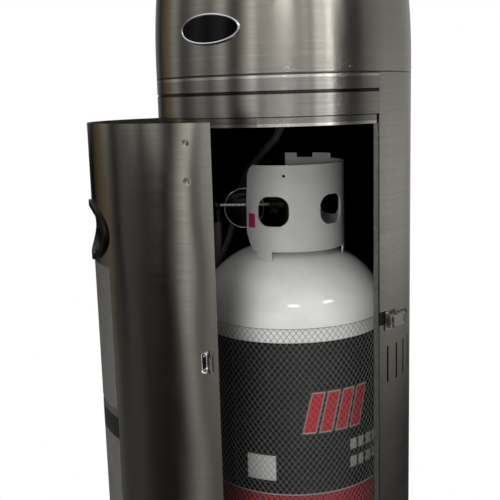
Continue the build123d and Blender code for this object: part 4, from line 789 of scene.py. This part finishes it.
# %% Chrome rim
# The dome's side is an arc of this radius, which starts where the straight wall ends.
DOME_SIDE = 1000.0
DOME_STRAIGHT = 975.0
BADGE_ANGLE, BADGE_HEIGHT = -31.0, 1015.5
BADGE_WIDTH, BADGE_TALL, RIM_WIDTH, RIM_THICKNESS = 103.6, 44.8, 4.4, 3.0
RIM_STEPS, SECTION_STEPS = 96, 11


def dome_radius(height):
    """The dome's outer radius at a height, in millimetres."""
    rise = max(height - DOME_STRAIGHT, 0.0)
    return BODY_RADIUS - DOME_SIDE + sqrt(DOME_SIDE ** 2 - rise ** 2)


def on_dome(across, up, proud):
    """A point on the dome, from the badge's middle: across and up on it, and proud of it."""
    height = BADGE_HEIGHT + up
    angle = radians(BADGE_ANGLE) + asin(across / BODY_RADIUS)
    reach = dome_radius(height) + proud
    return Vector((reach * sin(angle), -reach * cos(angle), height)) * MM


def skin_mesh(name, rows, material, closed_loops=False):
    """A mesh from rows of points, each joined to the next, with its faces turned outwards."""
    mesh = bpy.data.meshes.new(name)
    count = len(rows[0])
    points = [point for row in rows for point in row]
    faces = []
    for i in range(len(rows) if closed_loops else len(rows) - 1):
        for j in range(count):
            k, after = (j + 1) % count, (i + 1) % len(rows)
            faces.append((i * count + j, i * count + k, after * count + k, after * count + j))
    mesh.from_pydata(points, [], faces)
    mesh.materials.append(material)
    work = bmesh.new()
    work.from_mesh(mesh)
    bmesh.ops.recalc_face_normals(work, faces=work.faces)
    work.to_mesh(mesh)
    work.free()
    mesh.shade_smooth()
    return in_scene(name, mesh)


def badge_rim(width, tall, rim, thickness):
    """Rows of points round an oval, each a rounded section."""
    rows = []
    for step in range(RIM_STEPS):
        turn = 2 * pi * step / RIM_STEPS
        row = []
        for part in range(SECTION_STEPS + 1):
            section = pi * part / SECTION_STEPS
            inset = rim / 2 - rim / 2 * cos(section)
            proud = 0.35 + (thickness - 0.4) * sin(section) ** 0.7
            row.append(on_dome((width / 2 - inset) * cos(turn),
                               (tall / 2 - inset) * sin(turn), proud))
        rows.append(row)
    return rows


rim_rows = badge_rim(BADGE_WIDTH, BADGE_TALL, RIM_WIDTH, RIM_THICKNESS)
settle(skin_mesh("badge_rim", rim_rows, chrome, closed_loops=True),
       "housing", "badge_bezel", slot="chrome")


# %% [markdown]
# ## The regulator
#
# The regulator is two dark pressed shells, crimped together by a bright rolled rim. A thin
# plated tube with turned beads runs past it to the elbow over the hose. All are turned shapes,
# so each is a row of radii swept round an axis.

# %% Regulator
REGULATOR = (-71.0, 16.0, 733.5)
TUBE_START = (-27.5, 0.0, 741.0)
TUBE_LENGTH = 90.0
BEAD_STEPS, BEAD_STEP = 95, 0.95
ELBOW = (-116.0, 0.0, 741.0)


def turned(name, profile, origin, axis, side, material, steps=64):
    """A shape turned round an axis, from its radii and its places along the axis."""
    axis, side = Vector(axis), Vector(side)
    other = axis.cross(side)
    rows = []
    for radius, along in profile:
        centre = Vector(origin) + axis * along
        rows.append([(centre + radius * (cos(turn) * side + sin(turn) * other)) * MM
                     for turn in (2 * pi * step / steps for step in range(steps))])
    return skin_mesh(name, rows, material)


def joined(name, pieces):
    """Several meshes as one, with their own materials."""
    with bpy.context.temp_override(active_object=pieces[0], selected_editable_objects=pieces):
        bpy.ops.object.join()
    pieces[0].name = name
    return pieces[0]


dark_shell = metal("painted_regulator_shell", "#2a2a2b", 0.34, 0.06, 0.002, "#121212", 0.5)
SHELL_PROFILE = [(0.1, -9.0), (27.0, -9.0), (31.5, -6.0), (32.6, -1.5), (32.6, 1.5), (31.5, 5.0),
                 (24.0, 8.4), (19.6, 9.0), (19.0, 11.4), (17.0, 12.4), (0.1, 12.4)]
RIM_PROFILE = [(33.2 + 1.3 * cos(2 * pi * step / 12), 1.9 * sin(2 * pi * step / 12))
               for step in range(13)]
TUBE_PROFILE = [(0.1, 0.0)]
TUBE_PROFILE += [(2.3 + 1.1 * sin(pi * step / 4) ** 2, step * BEAD_STEP)
                 for step in range(BEAD_STEPS)]
TUBE_PROFILE += [(0.1, TUBE_LENGTH)]
ELBOW_PROFILE = [(0.1, 7.0), (3.2, 6.2), (5.6, 3.0), (5.8, -3.0), (5.8, -6.0), (0.1, -6.0)]
regulator = joined("crimped_regulator", [
    turned("shell", SHELL_PROFILE, REGULATOR, (0, -1, 0), (1, 0, 0), dark_shell),
    turned("rim", RIM_PROFILE, REGULATOR, (0, -1, 0), (1, 0, 0), chrome, 96),
    turned("tube", TUBE_PROFILE, TUBE_START, (-1, 0, 0), (0, 0, 1), chrome, 16),
    turned("elbow", ELBOW_PROFILE, ELBOW, (0, 0, 1), (1, 0, 0), dark_shell, 32)])
settle(regulator, "bottle", "regulator", slot="zinc_casting")


# %% [markdown]
# ## The gas hose
#
# A rubber hose drops from the regulator, swings round behind the bottle's shoulder and rises
# to the fitting under the dome. It is one smooth curve through the route's control points,
# given a round bevel.

# %% Gas hose
def hose_rubber():
    """Extruded rubber with fine lengthways lines and a dull sheen."""
    material, tree, shader, place = new_material("extruded_hose_rubber")
    grain = noise(tree, place, 500.0, 3.0)
    wire(tree, shader, Base_Color=blend_colours(tree, grain, tint("#3a3a39"), tint("#4c4c4a")))
    wire(tree, shader, Roughness=math(tree, "MULTIPLY_ADD", grain, 0.15, 0.42))
    bump(tree, shader, grain, 0.00008, 0.6)
    return material


HOSE_ROUTE = [(-116.0, 0.0, 713.0), (-116.0, 0.0, 667.0), (-128.0, 26.0, 631.0),
              (-130.0, 69.0, 617.0), (-121.0, 112.0, 631.0), (-103.0, 138.0, 667.0),
              (-95.0, 139.0, 712.0), (-82.0, 128.0, 757.0), (-62.0, 104.0, 797.0),
              (-29.5, 51.0, 833.0), (-10.0, 17.0, 855.0), (0.0, 0.0, 890.0), (0.0, 0.0, 927.3)]
HOSE_DIAMETER = 13.0


def hose_curve(name, route, diameter, material):
    """One open NURBS spline with a round bevel."""
    curve = bpy.data.curves.new(name, "CURVE")
    curve.dimensions = "3D"
    spline = curve.splines.new("NURBS")
    spline.points.add(len(route) - 1)
    for point, place in zip(spline.points, route):
        point.co = (*[value * MM for value in place], 1.0)
    spline.order_u = 3
    spline.use_endpoint_u = True
    spline.resolution_u = 10
    curve.bevel_depth = diameter / 2 * MM
    curve.bevel_resolution = 6
    curve.use_fill_caps = True
    curve.materials.append(material)
    return in_scene(name, curve)


hose = hose_curve("rubber_gas_hose", HOSE_ROUTE, HOSE_DIAMETER, hose_rubber())
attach(hose, "housing")
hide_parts("gas_hose")
print("hose piece with", len(HOSE_ROUTE), "control points")


# %% [markdown]
# ## Floor
#
# The floor keeps the shadow at the heater's foot. Further out it is plain white to the camera,
# as the background is, so that the white adds no light to the object.

# %% Floor
SHADOW_EDGE = (0.28, 0.40)
FLOOR_HALF = 12


def floor_finish():
    """A pale matt floor that keeps the shadow near the base and is plain white further out."""
    material = bpy.data.materials.new("pale_studio_floor")
    material.use_nodes = True
    tree = material.node_tree
    tree.nodes.clear()
    place = add(tree, "ShaderNodeTexCoord").outputs["Object"]
    reach = vector(tree, "LENGTH", place).outputs["Value"]
    far = add(tree, "ShaderNodeMapRange", {
        0: reach, 1: SHADOW_EDGE[0], 2: SHADOW_EDGE[1]}).outputs[0]
    light_path = add(tree, "ShaderNodeLightPath")
    matt = add(tree, "ShaderNodeBsdfDiffuse", {"Color": tint("#e6e6e4")})
    white = add(tree, "ShaderNodeEmission", {"Color": grey(1.0), "Strength": 1.0})
    clear = add(tree, "ShaderNodeBsdfTransparent")
    seen = math(tree, "MULTIPLY", far, light_path.outputs["Is Camera Ray"])
    shown = add(tree, "ShaderNodeMixShader", {0: seen, 1: matt.outputs[0], 2: white.outputs[0]})
    open_to = add(tree, "ShaderNodeMixShader", {0: light_path.outputs["Is Glossy Ray"],
                                                1: shown.outputs[0], 2: clear.outputs[0]})
    add(tree, "ShaderNodeOutputMaterial", {"Surface": open_to.outputs[0]})
    return material


floor_mesh = bpy.data.meshes.new("studio_floor")
corners = [(x * FLOOR_HALF, y * FLOOR_HALF, 0) for x, y in ((-1, -1), (1, -1), (1, 1), (-1, 1))]
floor_mesh.from_pydata(corners, [], [(0, 1, 2, 3)])
floor_mesh.materials.append(floor_finish())
floor = in_scene("studio_floor", floor_mesh)
print("floor laid")


# %% [markdown]
# ## The room that the metal reflects
#
# Polished metal shows what stands round it. The world is white to the camera and an even grey
# to paint, but reflected rays see a room: three rings of soft levels, one low, one at the eye's
# height and one above, with a ceiling over them and two bright tube lamps in it. Each ring is
# a ramp over the angle from the front, so that its levels become the steel's upright streaks.

# %% Room
# Heights on the sphere of directions, from -1 straight down to 1 straight up.
LOW_TO_MIDDLE = (-0.34, -0.14)
MIDDLE_TO_UPPER = (-0.06, 0.0)
UPPER_TO_CEILING = (0.40, 0.70)
TUBE_FOOT, TUBE_TOP = (0.46, 0.48), (0.53, 0.55)
TUBE_ANGLES, TUBE_HALF_WIDTH, TUBE_LEVEL = (2, 50), 7, 22.0


def room_light():
    """A world that is white to the camera, grey to matt surfaces and a room to metal."""
    world = bpy.data.worlds.new("studio_room")
    world.use_nodes = True
    bpy.context.scene.world = world
    tree = world.node_tree
    tree.nodes.clear()
    facing = add(tree, "ShaderNodeTexCoord").outputs["Generated"]
    split = add(tree, "ShaderNodeSeparateXYZ", {0: facing})
    angle = math(tree, "ARCTAN2", split.outputs[0], math(tree, "MULTIPLY", split.outputs[1], -1.0))
    turn = math(tree, "MULTIPLY_ADD", angle, 0.5 / pi, 0.5)

    def screens(levels):
        """A ring of the room, from an angle, a level and perhaps a tint for each stop."""
        stops = []
        for at, level, *glow in levels:
            red, green, blue, _ = tint(glow[0] if glow else "#ffffff")
            stops.append((0.5 + at / 360.0, (level * red, level * green, level * blue, 1.0)))
        return ramp(tree, turn, stops)

    def between(low, high):
        """How far a direction has risen from one height on the sphere to another."""
        return add(tree, "ShaderNodeMapRange", {0: split.outputs[2], 1: low, 2: high}).outputs[0]

    room = blend_colours(tree, between(*LOW_TO_MIDDLE), screens(LOW_ROOM), screens(MIDDLE_ROOM))
    room = blend_colours(tree, between(*MIDDLE_TO_UPPER), room, screens(UPPER_ROOM))
    room = blend_colours(tree, between(*UPPER_TO_CEILING), room, grey(CEILING_LEVEL))
    for middle in TUBE_ANGLES:
        aside = math(tree, "ABSOLUTE", math(tree, "SUBTRACT", angle, radians(middle)))
        tube = math(tree, "MULTIPLY", math(tree, "LESS_THAN", aside, radians(TUBE_HALF_WIDTH)),
                    math(tree, "SUBTRACT", between(*TUBE_FOOT), between(*TUBE_TOP)))
        room = blend_colours(tree, tube, room, grey(TUBE_LEVEL))
    light_path = add(tree, "ShaderNodeLightPath")
    lit = blend_colours(tree, light_path.outputs["Is Glossy Ray"], grey(WORLD_LEVEL), room)
    seen = blend_colours(tree, light_path.outputs["Is Camera Ray"], lit, grey(1.0))
    shade = add(tree, "ShaderNodeBackground", {"Color": seen, "Strength": 1.0})
    add(tree, "ShaderNodeOutputWorld", {"Surface": shade.outputs[0]})


WORLD_LEVEL = 0.30
CEILING_LEVEL = 1.1
UPPER_ROOM = [(-180, 0.4), (-140, 0.03), (-121, 0.21, "#ffe9b4"), (-110, 0.42), (-99, 0.10),
              (-90, 0.14), (-78, 0.44), (-66, 0.19), (-54, 0.72), (-47, 0.16), (-42, 0.03),
              (-36, 0.14), (-31, 0.52), (-26, 1.15), (-20, 0.55), (-10, 0.65), (4, 0.85),
              (14, 0.58), (20, 0.80), (25, 0.46), (30, 1.5), (36, 1.3), (41, 2.3), (46, 0.32),
              (53, 0.12), (60, 0.05), (68, 0.04), (78, 0.20), (100, 0.33), (129, 0.33),
              (150, 0.36), (180, 0.3)]
MIDDLE_ROOM = [(-180, 0.05), (-143, 0.0), (-126, 0.10, "#ffe3ae"), (-114, 0.15, "#ffe9c0"),
               (-105, 0.06), (-97, 0.02), (-89, 0.10), (-75, 0.05), (-63, 0.04), (-52, 0.0),
               (-47, 0.03), (-41, 0.20), (-36, 0.60), (-31, 0.85), (-26, 0.50), (-22, 0.12),
               (-17, 0.18), (-12, 0.55), (4, 0.5), (20, 0.5), (41, 0.9), (50, 0.2), (62, 0.1),
               (78, 0.3), (93, 0.62), (105, 0.66), (128, 0.52), (136, 0.44), (146, 0.30),
               (163, 0.34), (180, 0.2)]
LOW_ROOM = [(-180, 0.03), (-119, 0.17), (-108, 0.07), (-83, 0.07), (-69, 0.03), (-57, 0.02),
            (-46, 0.02), (-40, 0.05), (-35, 0.15), (-29, 0.30), (-24, 0.27), (-14, 0.15),
            (0, 0.15), (40, 0.08), (93, 0.04), (115, 0.03), (138, 0.02), (180, 0.02)]
room_light()
print("room has", len(UPPER_ROOM), len(MIDDLE_ROOM), "and", len(LOW_ROOM), "levels")


# %% [markdown]
# ## Lamps
#
# Three square lamps light paint and plastic, and don't show in reflections. The key lamp is a
# narrow beam on the bottle in the open doorway, the fill lamp lights the front from above, and
# the rear lamp lights the back.

# %% Lamps
def soft_lamp(name, place, aim, size, watts, spread=180.0):
    """A square soft lamp that points at a place, with its beam's spread in degrees."""
    lamp = bpy.data.lights.new(name, "AREA")
    lamp.shape = "SQUARE"
    lamp.size = size
    lamp.energy = watts
    lamp.spread = radians(spread)
    holder = in_scene(name, lamp)
    holder.location = place
    holder.rotation_euler = (Vector(aim) - Vector(place)).to_track_quat("-Z", "Y").to_euler()
    holder.visible_glossy = False


soft_lamp("key_lamp", (-0.4, -2.2, 0.75), (0.0, -0.1, 0.45), 0.6, 1.1, 30.0)
soft_lamp("fill_lamp", (-0.7, -2.2, 2.6), (0.0, 0.0, 0.6), 1.2, 14.0)
soft_lamp("rear_lamp", (0.5, 2.8, 2.6), (0.0, 0.0, 1.0), 1.6, 40.0)
print("three soft lamps")


# %% [markdown]
# ## Camera
#
# The camera stands a little under the height of the dome's seam and looks slightly down, with
# a small tilt to one side, as the picture was taken. Its place and angles come from fitting
# the seams and edges whose real heights are known.

# %% Camera
SENSOR = 36.0
FRAME_PIXELS = 500.0
CAMERA_PLACE = (0.0, -1409.2, 918.1)
YAW, PITCH, ROLL = -0.0442, 0.1789, -0.0286
FOCAL_PIXELS = 842.1


def photo_camera(place, yaw, pitch, roll, focal):
    """A camera from its angles in radians and its focal length in pixels of a 500 pixel frame."""
    forward = Vector((sin(yaw) * cos(pitch), cos(yaw) * cos(pitch), -sin(pitch)))
    right = Vector((cos(yaw), -sin(yaw), 0.0))
    up = right.cross(forward)
    across = cos(roll) * right + sin(roll) * up
    upright = -sin(roll) * right + cos(roll) * up
    data = bpy.data.cameras.new("photo_camera")
    data.sensor_width = SENSOR
    data.lens = focal * SENSOR / FRAME_PIXELS
    data.clip_end = 100.0
    camera = in_scene("photo_camera", data)
    turn = Matrix((across, upright, -forward)).transposed().to_4x4()
    camera.matrix_world = Matrix.Translation(Vector(place) * MM) @ turn
    bpy.context.scene.camera = camera
    return camera


camera = photo_camera(CAMERA_PLACE, YAW, PITCH, ROLL, FOCAL_PIXELS)
print("lens, mm:", round(camera.data.lens, 1))


# %% [markdown]
# ## Finish
#
# The view transform stays plain, so that colours render as they are written.

# %% Finish
bpy.context.scene.view_settings.view_transform = "Standard"
bpy.context.view_layer.update()
